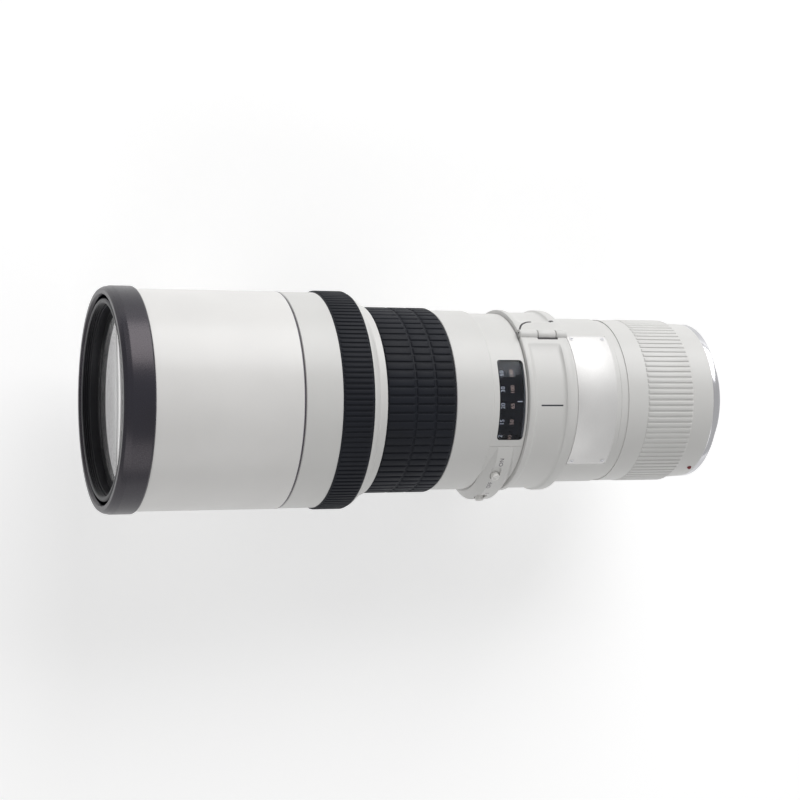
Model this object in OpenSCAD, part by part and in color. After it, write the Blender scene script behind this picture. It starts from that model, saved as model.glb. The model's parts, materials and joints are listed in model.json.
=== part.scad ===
// Long telephoto lens with a built-in sliding hood and a hinged tripod collar.
// Origin: centre of the bayonet flange face. The front looks along -Y, +Z is up,
// and the switch panel is on the +X side. Sizes are in millimetres.

/* [Lengths along the axis, from the flange forward] */
// Thickness of the mount plate
mount_t = 2.4; // [2:0.1:3]
// Length of the plain tail in front of the mount plate
tail_len = 9.9; // [9:0.1:12]
// Length of the ribbed rear ring
rear_rib_len = 21.5; // [18:0.1:26]
// Length of the plain band in front of the ribbed ring
band_len = 8.8; // [6:0.1:12]
// Length of the grooved step
step_len = 3.6; // [3:0.1:6]
// Length of the stretch that carries the name plate
plate_sec_len = 21.7; // [20:0.1:26]
// Length of the seat of the tripod collar
collar_sec_len = 21.4; // [20:0.1:26]
// Length of the window housing
window_sec_len = 14.9; // [14.5:0.1:18]
// Length of the centre barrel
centre_len = 16.2; // [14:0.1:20]
// Length of the focusing grip
grip_len = 30; // [28:0.5:36]
// Length of the shoulder ring
shoulder_len = 7; // [6:0.1:9]
// Length of the ridged ring
ridge_len = 13; // [11:0.1:16]
// Length of the front band
front_band_len = 14.9; // [12:0.1:18]
// Length of the hood tube
hood_tube_len = 59.1; // [57:0.1:66]
// Length of the hood rim
rim_len = 12.1; // [11.5:0.1:14]

/* [Radii: the mount plate, and the step out to each ring] */
// Radius of the mount plate
mount_r = 33; // [31:0.5:35]
// Step from the mount plate out to the rear barrel's tail
tail_rise = 0.5; // [0.4:0.1:0.8]
// Step from the tail out to the ribbed rear ring
rib_rise = 1.1; // [1:0.1:1.8]
// Step from the tail out to the plain band
band_rise = 0.9; // [0.8:0.1:1.1]
// Step from the plain band out to the stretch with the name plate
plate_rise = 0.3; // [0.2:0.1:0.6]
// Step from there out to the tripod collar
collar_rise = 3.3; // [3:0.1:4]
// Step from there out to the window housing
window_rise = 1.6; // [1.5:0.1:2]
// Step from the window housing out to the centre barrel
centre_rise = 1; // [0.8:0.1:1.4]
// Step from the centre barrel out to the focusing grip
grip_rise = 0.9; // [0.8:0.1:1.4]
// Step from the focusing grip out to the front band
shoulder_rise = 5.6; // [5.2:0.1:6]
// Step from the front band out to the ridged ring
ridge_rise = 0.7; // [0.6:0.1:1]
// Step from the front band out to the hood tube
hood_rise = 0.2; // [0.1:0.1:0.5]
// Step from the hood tube out to its rim
rim_rise = 1; // [0.9:0.1:1.6]

/* [Hood] */
// Wall of the hood tube
hood_wall = 1.6; // [1.2:0.1:1.7]
// Thickness of the lining
lining_t = 0.8; // [0.5:0.1:0.9]
// Room between the hood tube and the slide tube under it
slide_room = 1.5; // [1.4:0.1:1.8]
// Length of the guide ring
guide_len = 5; // [4:0.1:7]

/* [Optics] */
// Step from the slide tube in to the filter thread's bore
head_wall = 2.8; // [2.7:0.05:3.2]
// Depth of the filter thread
filter_depth = 3.2; // [2.5:0.1:3.5]
// Depth of the front glass's rim behind the front
glass_depth = 8.4; // [8:0.1:10]
// Step from the filter thread in to the front elements
glass_step = 1.6; // [1.5:0.1:2]
// Wall of the focusing cell round its element
focus_cell_wall = 5.75; // [4.5:0.25:8]
// Step from the guide tube's bore in to the rear elements
rear_glass_step = 12.1; // [11:0.1:13.5]
// Width of an iris blade
blade_w = 9; // [8:0.1:10]

/* [Focusing] */
// Room between the rear barrel's bore and the structural guide tube
guide_room = 3.1; // [3:0.1:3.3]
// Wall of the guide tube
guide_tube_wall = 1.8; // [1.5:0.1:2]
// Wall of the cam tube
cam_wall = 1.4; // [1.2:0.1:1.6]
// Travel of the focusing cell
focus_travel = 16; // [10:0.5:17]
// Turn of the cam tube over that travel, degrees
cam_turn = 75; // [60:1:90]
// Radius of the cam rollers
roller_r = 1.6; // [1.2:0.1:1.8]

/* [Collar and foot] */
// Distance from the optical axis to the foot's base
foot_drop = 63; // [58:1:75]
// Width of the foot plate
foot_w = 26; // [22:1:34]
// Length of the foot plate
foot_len = 40; // [32:1:56]
// Thickness of the foot plate
foot_t = 6; // [5:0.5:9]
// Radius of the tapped hole for the tripod screw
bush_bore_r = 2.55; // [2.5:0.05:3]
// Radius of the hinge pin
pin_r = 1.2; // [1:0.05:1.25]
// Radius of the clamp knob
knob_r = 7; // [6:0.5:8]

/* [Counts] */
// Ridges round the ridged ring
ridge_count = 136; // [100:4:160]
// Ribs round the focusing grip
grip_ribs = 75; // [60:1:90]
// Ribs round the rear ring
rear_ribs = 92; // [72:2:110]
// Iris blades
blade_count = 8; // [8:1:8]

/* [Hidden] */
$fn = 96;

// Shared clearances and overrun
gap = 0.3;
snug = 0.05;
run_fit = 0.08;
cut = 1;
seam = 0.4;

// Stations, measured forward from the flange
s_tail = mount_t;
s_rib = s_tail + tail_len;
s_band = s_rib + rear_rib_len;
s_step = s_band + band_len;
s_plate = s_step + step_len;
s_collar = s_plate + plate_sec_len;
s_window = s_collar + collar_sec_len;
s_centre = s_window + window_sec_len;
s_grip = s_centre + centre_len;
s_shoulder = s_grip + grip_len;
s_ridge = s_shoulder + shoulder_len;
s_fband = s_ridge + ridge_len;
s_hood = s_fband + front_band_len;
s_rim = s_hood + hood_tube_len;
s_front = s_rim + rim_len;

// Outside radii, each from the ring behind it
tail_r = mount_r + tail_rise;
rear_rib_r = tail_r + rib_rise;
band_r = tail_r + band_rise;
plate_sec_r = band_r + plate_rise;
collar_r = plate_sec_r + collar_rise;
window_r = plate_sec_r + window_rise;
centre_r = window_r + centre_rise;
grip_r = centre_r + grip_rise;
front_band_r = grip_r + shoulder_rise;
ridge_r = front_band_r + ridge_rise;
hood_r = front_band_r + hood_rise;
rim_r = hood_r + rim_rise;

// Hood
hood_in = hood_r - hood_wall;
slide_r = hood_in - slide_room;
filter_r = slide_r - head_wall;
front_glass_r = filter_r - glass_step;
hood_s0 = s_hood + seam;
hood_lip_t = 0.8;
hood_lip_r = slide_r + gap;
guide_s0 = hood_s0 + hood_lip_t + gap;
guide_s1 = guide_s0 + guide_len;
guide_r = hood_in - gap;
key_w = 4;
key_h = 0.9;
rim_spigot = 3;
rim_in = slide_r + gap;
rim_shoulder = 0.8;
rim_bevel = 1.5;
rim_nose = 1.1;
key_angles = [30, 150, 270];

// Slide tube and filter ring
bar_wall = 1.8;
bar_in = slide_r - bar_wall;
head_len = 13;
s_bar = s_front - head_len;
flange_t = 3.5;
ridge_wall = 2.2;
ridge_seat_r = ridge_r - ridge_wall;
filter_lip = 0.6;
cell_flange_r = slide_r - 3 * gap;
cell_tube_r = bar_in - 4 * snug;
glass_lip = 1.5;
thread_s0 = s_front - filter_lip - filter_depth;
retainer_t = 1.6;
glass_s1 = s_front - glass_depth;
retainer_drop = 0.7;
retainer_r = filter_r - retainer_drop;
el1_edge = 4.5;
el2_edge = 3.5;
el3_edge = 7;
el12_gap = 8;
el23_gap = 1.5;
el1_s0 = glass_s1 - el1_edge;
el2_s1 = el1_s0 - el12_gap;
el2_s0 = el2_s1 - el2_edge;
el3_s1 = el2_s0 - el23_gap;
el3_s0 = el3_s1 - el3_edge;
cell_lip_t = 2;
cell_s0 = el3_s0 - cell_lip_t;
el1_front_share = 4.4;
el1_rear_share = 16.4;
el2_front_share = 4.1;
el2_rear_share = 24.6;
el3_front_share = 11;
el3_rear_share = 4.9;
glass_steps = 10;
baffle_len = 32;
baffle_wall = 1;
baffle_disc = 0.8;
baffle_step = 3;

// Guide tube and focusing drive
plate_wall = 2.2;
rear_in = plate_sec_r - plate_wall;
guide_tube_r = rear_in - guide_room;
guide_in = guide_tube_r - guide_tube_wall;
gt_flange_t = 2;
gt_s1 = s_ridge + flange_t + gt_flange_t;
web_t = 2;
cam_in = guide_tube_r + gap + 2 * snug;
cam_r = cam_in + cam_wall;
web_s0 = s_grip + gap;
roller_s = web_s0 + web_t + gap + roller_r;
rotor_s0 = roller_s + roller_r + gap;
rotor_t = 4.4;
stator_s0 = rotor_s0 + rotor_t + gap;
stator_t = 8;
motor_in = cam_r + gap;
core_wall = 1.4;
grip_t = 1.5;
core_r = grip_r - grip_t;
core_in = core_r - core_wall;
motor_r = core_in - gap;
holder_t = 3;
comb_count = 30;
comb_w = 0.6;
comb_depth = 2;
cam_s1 = stator_s0 + stator_t - gap;
cam_rear = 3.5;
cam_s0 = s_window + cam_rear;
pin_ahead = 4.5;
pin_s = rotor_s0 + pin_ahead;
pin_s1 = pin_s - focus_travel;
slot_r = roller_r + gap;
cam_slot_half = roller_r + 1.5 * gap;
cam_steps = 4;
roller_angles = [90, 210, 330];
cell_len = 16;
cell_r = guide_in - gap;
cell_in = cell_r - focus_cell_wall;
focus_glass_r = cell_in - snug;
cell_s = pin_s - cell_len / 2;
cell_lip = 1.2;
fe_edge = 7;
fe_front_share = 5.6;
fe_rear_share = 4.2;
drive_axle_r = 0.8;
drive_angles = [30, 150, 270];

// Grip bands, as shares of the grip's length from its rear end
grip_band_shares = [0, 0.303, 0.587, 1];
grip_groove = 1;
rib_h = 0.8;
rib_h_rear = 0.6;
ridge_h = 0.6;
rib_top_share = 0.55;
grip_base_r = grip_r - rib_h;

// Window housing and its switch panel
housing_wall = 1.1;
housing_in = window_r - housing_wall;
housing_flange_t = 0.8;
centre_lap = 0.5;
centre_in = window_r - centre_lap;
drum_r = housing_in - 2 * gap;
drum_wall = 0.8;
drum_s0 = s_window + housing_flange_t + gap;
drum_s1 = s_centre - gap;
window_half = 26.5;
window_len = 11.4;
window_s = s_window + housing_flange_t + window_len / 2;
window_corner = 1.5;
window_depth = 0.35;
window_side = 4.7;
panel_half = 90 - window_half - window_side;
panel_seam = 0.15;
panel_floor = housing_in + gap;
panel_edge = 0.6;
panel_s0 = s_window + panel_edge;
panel_s1 = s_centre - panel_edge;
hump_off = 8.8;
hump_inset = 3.5;
hump_r = window_r - hump_inset;
hump_ramp = 3.6;
hump_drop = 3.6;
knob_r2 = 1.75;
knob_h = 1.1;
knob_sink = 1;
knob_travel = 5.5;
knob_ahead = 1.8;
knob_s = (panel_s0 + panel_s1) / 2 + knob_ahead;
mode_angle = 47;
range_angle = 13;

// Iris
iris_room = 11;
iris_plate_t = 2;
iris_wall_r = guide_in - 2 * snug;
iris_wall = 0.7;
iris_len = 13;
iris_s0 = cell_s - focus_travel - iris_room - iris_len;
blade_t = 0.2;
blade_pitch = 0.4;
iris_edge = 5.9;
blade_out = guide_in - iris_edge;
blade_in = blade_out - blade_w;
iris_r = blade_in - gap;
blade_sweep = 100;
pivot_off = 1.7;
pivot_r = blade_out + pivot_off;
pivot_pin_r = 0.7;
ear_r = 1.6;
stud_off = 2.2;
stud_r = 0.5;
iris_stack = (blade_count + 1) * blade_pitch;
ring_s0 = iris_s0 + iris_plate_t + iris_stack + gap;
ring_t = 1.2;
ring_r = iris_wall_r - iris_wall - gap;
ring_in = blade_out + snug;
iris_ring_turn = 15;
iris_close = 25;
iris_slot_half = 0.9;
iris_motor_r = 2.6;

// Rear group
rear_flange_r = guide_in - 2 * snug;
rear_glass_r = guide_in - rear_glass_step;
rear_air = 3;
rear_cell_len = 24;
gt_s0 = iris_s0 - rear_air - rear_cell_len;
rear_cell_wall = 1.6;
rear_flange_t = 2.5;
rear_el_t = 5;
rear_el_share = 4.5;
rear_face_t = 4;

// Rear barrel, mount and contacts
end_wall = 3;
tail_wall = 1.7;
board_ahead = 1.6;
board_s = s_rib + board_ahead;
board_t = 1.6;
flange_width = 11.5;
throat_r = mount_r - flange_width;
board_edge = 0.9;
board_in = throat_r + board_edge;
bayonet_edge = 1.9;
bayonet_wall = 2;
bayonet_in = throat_r + bayonet_edge;
bayonet_r = bayonet_in + bayonet_wall;
bayonet_depth = 5;
lug_h = 1.5;
lug_r = bayonet_r + lug_h;
lug_t = 1.4;
lug_half = 25;
lug_angles = [30, 150, 270];
screw_inset = 3.7;
screw_pcd_r = mount_r - screw_inset;
screw_head_r = 1.5;
screw_shank_r = 0.8;
screw_head_t = 1.1;
screw_len = 7;
screw_sink = 0.1;
screw_angles = [50, 140, 230, 320];
lock_hole_r = 1.7;
lock_angle = 5;
baffle_tube_wall = 1.2;
baffle_front = 14;
mask_w_share = 1.3;
mask_h_share = 0.93;
mask_w = throat_r * mask_w_share;
mask_h = throat_r * mask_h_share;
contact_half = 35;
contact_h = 4.4;
pin_count = 7;
contact_pin_r = 0.7;
contact_pin_h = 0.3;
bead_r = 0.9;
bead_angle = 30;
bead_ahead = 2.7;
bead_s = s_tail + bead_ahead;

// Name plate
plate_half = 50;
plate_t = 0.6;
plate_proud = 0.2;
plate_margin = 1.9;
plate_r = plate_sec_r + plate_proud;
plate_screw_r = 0.85;
plate_screw_in = 1.9;
plate_screw_edge = 3.5;
plate_screw_angle = plate_half - plate_screw_edge;
groove_w = 0.4;
groove_d = 0.4;
rib_seat_drop = 0.4;
rib_seat_r = tail_r - rib_seat_drop;

// Collar
collar_keep = 0.2;
collar_in = plate_sec_r - collar_keep;
seat_r = collar_in - gap;
collar_s0 = s_collar + gap;
collar_s1 = s_window - gap;
collar_w = collar_s1 - collar_s0;
front_lip = 2.4;
rear_lip = 4;
recess = 0.6;
hinge_angle = 135.5;
hinge_depth = 0.7;
hinge_r = collar_r - hinge_depth;
knuckle_wall = 1;
knuckle_r = pin_r + knuckle_wall;
open_angle = 305;
recess_stop = 128;
recess_start = -48;
rear_ear = 4.6;
front_ear = 7.8;
knuckle_s0 = collar_s0;
knuckle_s1 = collar_s1;
knuckle_mid0 = knuckle_s0 + rear_ear;
knuckle_mid1 = knuckle_s1 - front_ear;
lug_block_w = 5;
clamp_wall = 2.5;
clamp_r = 2;
clamp_s = (collar_s0 + collar_s1) / 2;
clamp_rad = collar_r + knob_r + gap;
knob_t = 6;
knob_flutes = 12;
flute_r = 1.1;
neck_w = 18;
neck_len = 20;
neck_corner = 3;
foot_corner = 5;
foot_s = clamp_s;
bush_r = 5;
bush_h = 9;
index_w = 0.6;
index_len = 9.8;
index_angle = 86;
index_d = 0.2;

// Local frame: z runs forward from the flange, y is up, x is the switch side
module lens_axis() {
    rotate([90, 0, 0]) children();
}

module tube(s0, s1, ro, ri) {
    translate([0, 0, s0]) difference() {
        cylinder(r = ro, h = s1 - s0);
        translate([0, 0, -cut]) cylinder(r = ri, h = s1 - s0 + 2 * cut);
    }
}

module disc(s0, s1, r) {
    translate([0, 0, s0]) cylinder(r = r, h = s1 - s0);
}

// Wedge from angle a0 to a1, between two stations
function fan(a0, a1, r) = [for (i = [0 : 6]) let (a = a0 + (a1 - a0) * i / 6)
    [r * cos(a), r * sin(a)]];
module wedge(a0, a1, s0, s1, r) {
    translate([0, 0, s0]) linear_extrude(height = s1 - s0)
        polygon(concat([[0, 0]], fan(a0, a1, 2 * r)));
}

module sector(a0, a1, s0, s1, ro, ri) {
    intersection() {
        tube(s0, s1, ro, ri);
        wedge(a0, a1, s0 - cut, s1 + cut, ro);
    }
}

// A round bar that stands out from the axis at angle a, station s
module radial(a, s, r, d0, d1) {
    rotate([0, 0, a]) translate([d0, 0, s]) rotate([0, 90, 0]) cylinder(r = r, h = d1 - d0);
}

module radial_box(a, s, half, half_s, d0, d1) {
    rotate([0, 0, a]) translate([d0, -half, s - half_s]) cube([d1 - d0, 2 * half, 2 * half_s]);
}

// Outline of a ring of bars: each bar's top takes a share of its pitch
function bar_ring(n, top, low, share) = [for (i = [0 : n - 1], k = [0 : 3])
    let (a = 360 * (i + (k == 0 ? 0 : k == 1 ? 0.1 : k == 2 ? share + 0.1 : share + 0.2)) / n,
         r = (k == 1 || k == 2) ? top : low)
    [r * cos(a), r * sin(a)]];

module bars(n, s0, s1, top, low) {
    translate([0, 0, s0]) linear_extrude(height = s1 - s0)
        polygon(bar_ring(n, top, low, rib_top_share));
}

// Depth of a curve of radius rad at distance x from the axis, negative for a hollow
function sag(x, rad) = sign(rad) * (abs(rad) - sqrt(rad * rad - x * x));

// A glass between two edge stations, with a flat rim that its seats press on
module glass(s0, s1, r, rim, front_rad, rear_rad) {
    rc = r - rim;
    rotate_extrude() polygon(concat(
        [[r, s0], [r, s1]],
        [for (i = [glass_steps : -1 : 0]) let (x = rc * i / glass_steps)
            [x, s1 + sag(rc, front_rad) - sag(x, front_rad)]],
        [for (i = [0 : glass_steps]) let (x = rc * i / glass_steps)
            [x, s0 - sag(rc, rear_rad) + sag(x, rear_rad)]]));
}

module hood_rim() {
    color([0.13, 0.13, 0.15]) lens_axis() rotate_extrude() polygon([
        [rim_in, s_rim - rim_spigot], [hood_in - snug, s_rim - rim_spigot],
        [hood_in - snug, s_rim], [rim_r - rim_shoulder, s_rim], [rim_r, s_rim + rim_bevel],
        [rim_r, s_front - 2 * rim_bevel], [rim_r - rim_nose / 3, s_front - rim_bevel],
        [rim_r - rim_nose, s_front], [rim_in + gap, s_front], [rim_in, s_front - gap]]);
}

module hood_tube() {
    color([0.93, 0.93, 0.9]) lens_axis() rotate_extrude() polygon([
        [hood_lip_r, hood_s0], [hood_r - gap, hood_s0], [hood_r, hood_s0 + gap],
        [hood_r, s_rim], [hood_in, s_rim], [hood_in, hood_s0 + hood_lip_t],
        [hood_lip_r, hood_s0 + hood_lip_t]]);
}

module hood_lining() {
    color([0.08, 0.08, 0.09]) lens_axis()
        tube(guide_s1 + gap, s_rim - rim_spigot, hood_in - snug, hood_in - lining_t);
}

module hood_guide_ring() {
    color([0.2, 0.2, 0.22]) lens_axis() {
        union() {
            tube(guide_s0, guide_s1, guide_r, slide_r + run_fit);
            for (a = key_angles)
                radial_box(a, (guide_s0 + guide_s1) / 2, key_w / 2, guide_len / 2,
                    slide_r - key_h, (guide_r + slide_r) / 2);
        }
    }
}

module front_barrel() {
    color([0.92, 0.92, 0.9]) lens_axis() difference() {
        rotate_extrude() polygon([
            [guide_tube_r + snug, s_ridge], [ridge_seat_r, s_ridge], [ridge_seat_r, s_fband],
            [front_band_r, s_fband], [front_band_r, s_hood - gap], [front_band_r - gap, s_hood],
            [slide_r, s_hood], [slide_r, s_bar], [bar_in, s_bar], [bar_in, s_ridge + flange_t],
            [guide_tube_r + snug, s_ridge + flange_t]]);
        for (a = key_angles)
            radial_box(a, (s_hood + seam + s_bar + cut) / 2, key_w / 2 + gap,
                (s_bar + cut - s_hood - seam) / 2, slide_r - key_h - gap, slide_r + cut);
    }
}

module ridged_ring() {
    color([0.14, 0.14, 0.16]) lens_axis() difference() {
        union() {
            bars(ridge_count, s_ridge + ridge_h, s_fband - ridge_h, ridge_r, ridge_r - ridge_h);
            disc(s_ridge, s_ridge + 2 * ridge_h, ridge_r - ridge_h);
            disc(s_fband - 2 * ridge_h, s_fband, ridge_r - ridge_h);
        }
        disc(s_ridge - cut, s_fband + cut, ridge_seat_r + snug);
    }
}

module shoulder_ring() {
    color([0.92, 0.92, 0.9]) lens_axis() rotate_extrude() polygon([
        [guide_tube_r + snug, s_shoulder], [grip_r + gap, s_shoulder],
        [front_band_r - shoulder_len / 4, s_ridge - 0.6 * shoulder_len],
        [front_band_r, s_ridge], [grip_r, s_ridge], [grip_r, s_shoulder + web_t],
        [guide_tube_r + snug, s_shoulder + web_t]]);
}

module filter_ring() {
    color([0.12, 0.12, 0.13]) lens_axis() rotate_extrude() polygon([
        [front_glass_r - glass_lip, cell_s0], [cell_tube_r, cell_s0], [cell_tube_r, s_bar],
        [cell_flange_r, s_bar], [cell_flange_r, s_front - 2 * filter_lip],
        [cell_flange_r - filter_lip, s_front - filter_lip], [filter_r, s_front - filter_lip],
        [filter_r, thread_s0], [retainer_r + snug, thread_s0],
        [retainer_r + snug, glass_s1], [front_glass_r + snug, glass_s1],
        [front_glass_r + snug, el3_s0], [front_glass_r - glass_lip, el3_s0]]);
}

module front_retainer() {
    color([0.1, 0.1, 0.11]) lens_axis() rotate_extrude() polygon([
        [front_glass_r - filter_lip, glass_s1], [retainer_r, glass_s1],
        [retainer_r, glass_s1 + retainer_t], [front_glass_r, glass_s1 + retainer_t]]);
}

module element_1() {
    color([0.55, 0.6, 0.68, 0.4]) lens_axis()
        glass(el1_s0, glass_s1, front_glass_r, glass_lip,
            el1_front_share * front_glass_r, el1_rear_share * front_glass_r);
}

module element_2() {
    color([0.55, 0.6, 0.68, 0.4]) lens_axis()
        glass(el2_s0, el2_s1, front_glass_r, glass_lip,
            el2_front_share * front_glass_r, el2_rear_share * front_glass_r);
}

module element_3() {
    color([0.55, 0.6, 0.68, 0.4]) lens_axis()
        glass(el3_s0, el3_s1, front_glass_r, glass_lip,
            -el3_front_share * front_glass_r, -el3_rear_share * front_glass_r);
}

module front_spacers() {
    color([0.1, 0.1, 0.11]) lens_axis() {
        tube(el2_s1, el1_s0, front_glass_r, front_glass_r - glass_lip);
        tube(el3_s1, el2_s0, front_glass_r, front_glass_r - glass_lip);
    }
}

module front_baffle() {
    color([0.07, 0.07, 0.08]) lens_axis() difference() {
        disc(cell_s0 - baffle_len, cell_s0, cell_tube_r);
        for (i = [0 : 2])
            disc(cell_s0 - baffle_len * (i + 1) / 3 + (i == 2 ? -cut : 0),
                cell_s0 - baffle_len * i / 3 - baffle_disc, cell_tube_r - baffle_wall);
        for (i = [0 : 2])
            disc(cell_s0 - baffle_len * (i + 0.5) / 3, cell_s0 - baffle_len * i / 3 + cut,
                front_glass_r - (i + 1) * baffle_step / 2);
    }
}

module focus_grip() {
    color([0.13, 0.13, 0.15]) lens_axis() difference() {
        union() {
            disc(web_s0, s_shoulder - gap, grip_base_r);
            for (i = [0 : 2])
                bars(grip_ribs, web_s0 + grip_band_shares[i] * (grip_len - 2 * gap)
                    + (i == 0 ? grip_groove : grip_groove / 2),
                    web_s0 + grip_band_shares[i + 1] * (grip_len - 2 * gap)
                    - (i == 2 ? 0 : grip_groove / 2), grip_r, grip_base_r - snug);
        }
        disc(web_s0 - cut, s_shoulder, core_r + snug);
    }
}

module focus_ring() {
    color([0.3, 0.3, 0.32]) lens_axis() {
        union() {
            tube(web_s0, s_shoulder - gap, core_r, core_in);
            tube(web_s0, web_s0 + web_t, core_r - snug, motor_in);
        }
    }
}

module motor_stator() {
    color([0.7, 0.6, 0.4]) lens_axis() difference() {
        union() {
            tube(stator_s0, stator_s0 + stator_t + cut, motor_r, motor_in);
            tube(stator_s0 + stator_t, stator_s0 + stator_t + holder_t, motor_r,
                guide_tube_r + snug);
        }
        for (i = [0 : comb_count - 1])
            rotate([0, 0, 360 * i / comb_count])
                translate([motor_in - cut, -comb_w / 2, stator_s0 - cut])
                    cube([motor_r - motor_in + 2 * cut, comb_w, comb_depth + cut]);
    }
}

module motor_rotor() {
    color([0.6, 0.6, 0.62]) lens_axis() tube(rotor_s0, rotor_s0 + rotor_t, motor_r, motor_in);
}

module drive_rollers() {
    color([0.75, 0.75, 0.77]) lens_axis()
        for (a = drive_angles) difference() {
            radial(a, roller_s, roller_r, motor_in + gap, motor_r - gap);
            radial(a, roller_s, drive_axle_r + snug, cam_r, motor_r + cut);
        }
}

module cam_tube() {
    color([0.5, 0.5, 0.52]) lens_axis() {
        difference() {
            union() {
                tube(cam_s0, cam_s1, cam_r, cam_in);
                for (a = drive_angles)
                    radial(a, roller_s, drive_axle_r, (cam_r + cam_in) / 2, motor_r);
            }
            for (a = roller_angles, i = [0 : cam_steps - 1]) cam_cut(a, (i + 0.5) / cam_steps);
        }
    }
}

// One straight piece of a slanting slot, at a share of the way along it
module cam_cut(a, share) {
    arc = cam_r * cam_turn * PI / 180;
    run = sqrt(arc * arc + focus_travel * focus_travel) / cam_steps + 2 * cam_slot_half;
    rotate([0, 0, a - cam_turn * share])
        translate([cam_in - cut, 0, pin_s - focus_travel * share])
            rotate([atan2(focus_travel, arc), 0, 0])
                translate([0, -run / 2, -cam_slot_half])
                    cube([cam_wall + 2 * cut, run, 2 * cam_slot_half]);
}

module scale_drum() {
    color([0.06, 0.06, 0.07]) lens_axis() {
        union() {
            tube(drum_s0, drum_s1, drum_r, drum_r - drum_wall);
            tube(drum_s1 - web_t / 2, drum_s1, drum_r - snug, cam_r + snug);
        }
    }
}

module focus_cell() {
    color([0.16, 0.16, 0.17]) lens_axis() difference() {
        union() {
            tube(cell_s, cell_s + cell_len, cell_r, cell_in);
            tube(cell_s, cell_s + cell_lip, cell_r - snug, focus_glass_r - cell_lip);
        }
        for (a = roller_angles) radial(a, pin_s, roller_r / 2 + snug, cell_in - cut, cell_r + cut);
    }
}

module cam_rollers() {
    color([0.75, 0.75, 0.77]) lens_axis()
        for (a = roller_angles) {
            radial(a, pin_s, roller_r / 2, cell_in + gap, cell_r + cut / 2);
            radial(a, pin_s, roller_r, cell_r + snug, cam_r - snug);
        }
}

module focus_element() {
    color([0.5, 0.58, 0.66, 0.4]) lens_axis()
        glass(cell_s + cell_lip, cell_s + cell_lip + fe_edge, focus_glass_r, cell_lip,
            -fe_front_share * focus_glass_r, -fe_rear_share * focus_glass_r);
}

module guide_tube() {
    color([0.4, 0.4, 0.42]) lens_axis() difference() {
        union() {
            tube(gt_s0, gt_s1, guide_tube_r, guide_in);
            tube(gt_s1 - gt_flange_t, gt_s1, bar_in - snug, guide_in + snug);
            tube(gt_s0, gt_s0 + gt_flange_t, rear_in - snug, guide_in + snug);
        }
        for (a = roller_angles) {
            radial_box(a, (pin_s + pin_s1) / 2, slot_r, focus_travel / 2,
                guide_in - cut, guide_tube_r + cut);
            radial(a, pin_s, slot_r, guide_in - cut, guide_tube_r + cut);
            radial(a, pin_s1, slot_r, guide_in - cut, guide_tube_r + cut);
        }
    }
}

// Block with round corners that is pushed up through the window
module window_block(shrink) {
    half_x = window_r * sin(window_half) - shrink;
    half_s = window_len / 2 - shrink;
    c = window_corner;
    translate([0, 0, window_s]) rotate([-90, 0, 0]) {
        translate([-half_x + c, -half_s, housing_in / 2])
            cube([2 * (half_x - c), 2 * half_s, window_r]);
        translate([-half_x, -half_s + c, housing_in / 2])
            cube([2 * half_x, 2 * (half_s - c), window_r]);
        for (x = [-half_x + c, half_x - c], y = [-half_s + c, half_s - c])
            translate([x, y, housing_in / 2]) cylinder(r = c, h = window_r);
    }
}

module distance_window() {
    color([0.15, 0.16, 0.18, 0.4]) lens_axis() intersection() {
        tube(s_window, s_centre, window_r - window_depth, housing_in + snug);
        window_block(snug);
    }
}

module window_housing() {
    color([0.92, 0.92, 0.9]) lens_axis() difference() {
        union() {
            tube(s_window, s_centre, window_r, housing_in);
            tube(s_window, s_window + housing_flange_t, window_r - snug, rear_in);
        }
        window_block(0);
        sector(-panel_half, panel_half, panel_s0, panel_s1, window_r + cut, panel_floor);
    }
}

module centre_barrel() {
    color([0.92, 0.92, 0.9]) lens_axis() rotate_extrude() polygon([
        [centre_in, s_centre], [centre_r - gap, s_centre], [centre_r, s_centre + gap],
        [centre_r, s_grip - gap], [centre_r - gap, s_grip], [centre_in, s_grip]]);
}

// Raised hump, whose axis lies towards the panel
module hump() {
    translate([hump_off, 0, 0]) rotate_extrude() polygon([
        [0, panel_s0], [hump_r - hump_drop, panel_s0], [hump_r, panel_s0 + hump_ramp],
        [hump_r, panel_s1 - hump_ramp], [hump_r - hump_drop, panel_s1], [0, panel_s1]]);
}

module hump_radial(a, s, r, d0, d1) {
    translate([hump_off, 0, 0]) radial(a, s, r, d0, d1);
}

// Track for a knob, from its place at rest to the end of its travel
module knob_track(a, r, d0) {
    hump_radial(a, knob_s, r, d0, hump_r + cut);
    hump_radial(a + knob_travel, knob_s, r, d0, hump_r + cut);
    translate([hump_off, 0, 0])
        radial_box(a + knob_travel / 2, knob_s, hump_r * sin(knob_travel / 2), r - snug,
            d0, hump_r + cut);
}

module switch_panel() {
    color([0.9, 0.9, 0.88]) lens_axis() difference() {
        intersection() {
            union() {
                disc(panel_s0, panel_s1, window_r);
                hump();
            }
            wedge(-panel_half + panel_seam, panel_half - panel_seam, panel_s0, panel_s1,
                hump_off + hump_r);
        }
        disc(panel_s0 - cut, panel_s1 + cut, panel_floor);
        knob_track(mode_angle, knob_r2 + gap, hump_r - knob_sink);
        knob_track(range_angle, knob_r2 + gap, hump_r - knob_sink);
    }
}

module knob(a) {
    difference() {
        hump_radial(a, knob_s, knob_r2, hump_r - knob_sink + gap / 2, hump_r + knob_h);
        hump_radial(a, knob_s, knob_r2 / 2, hump_r + knob_h - gap, hump_r + knob_h + cut);
    }
}

module focus_mode_knob() {
    color([0.95, 0.95, 0.93]) lens_axis() knob(mode_angle);
}

module range_knob() {
    color([0.95, 0.95, 0.93]) lens_axis() knob(range_angle);
}

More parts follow.
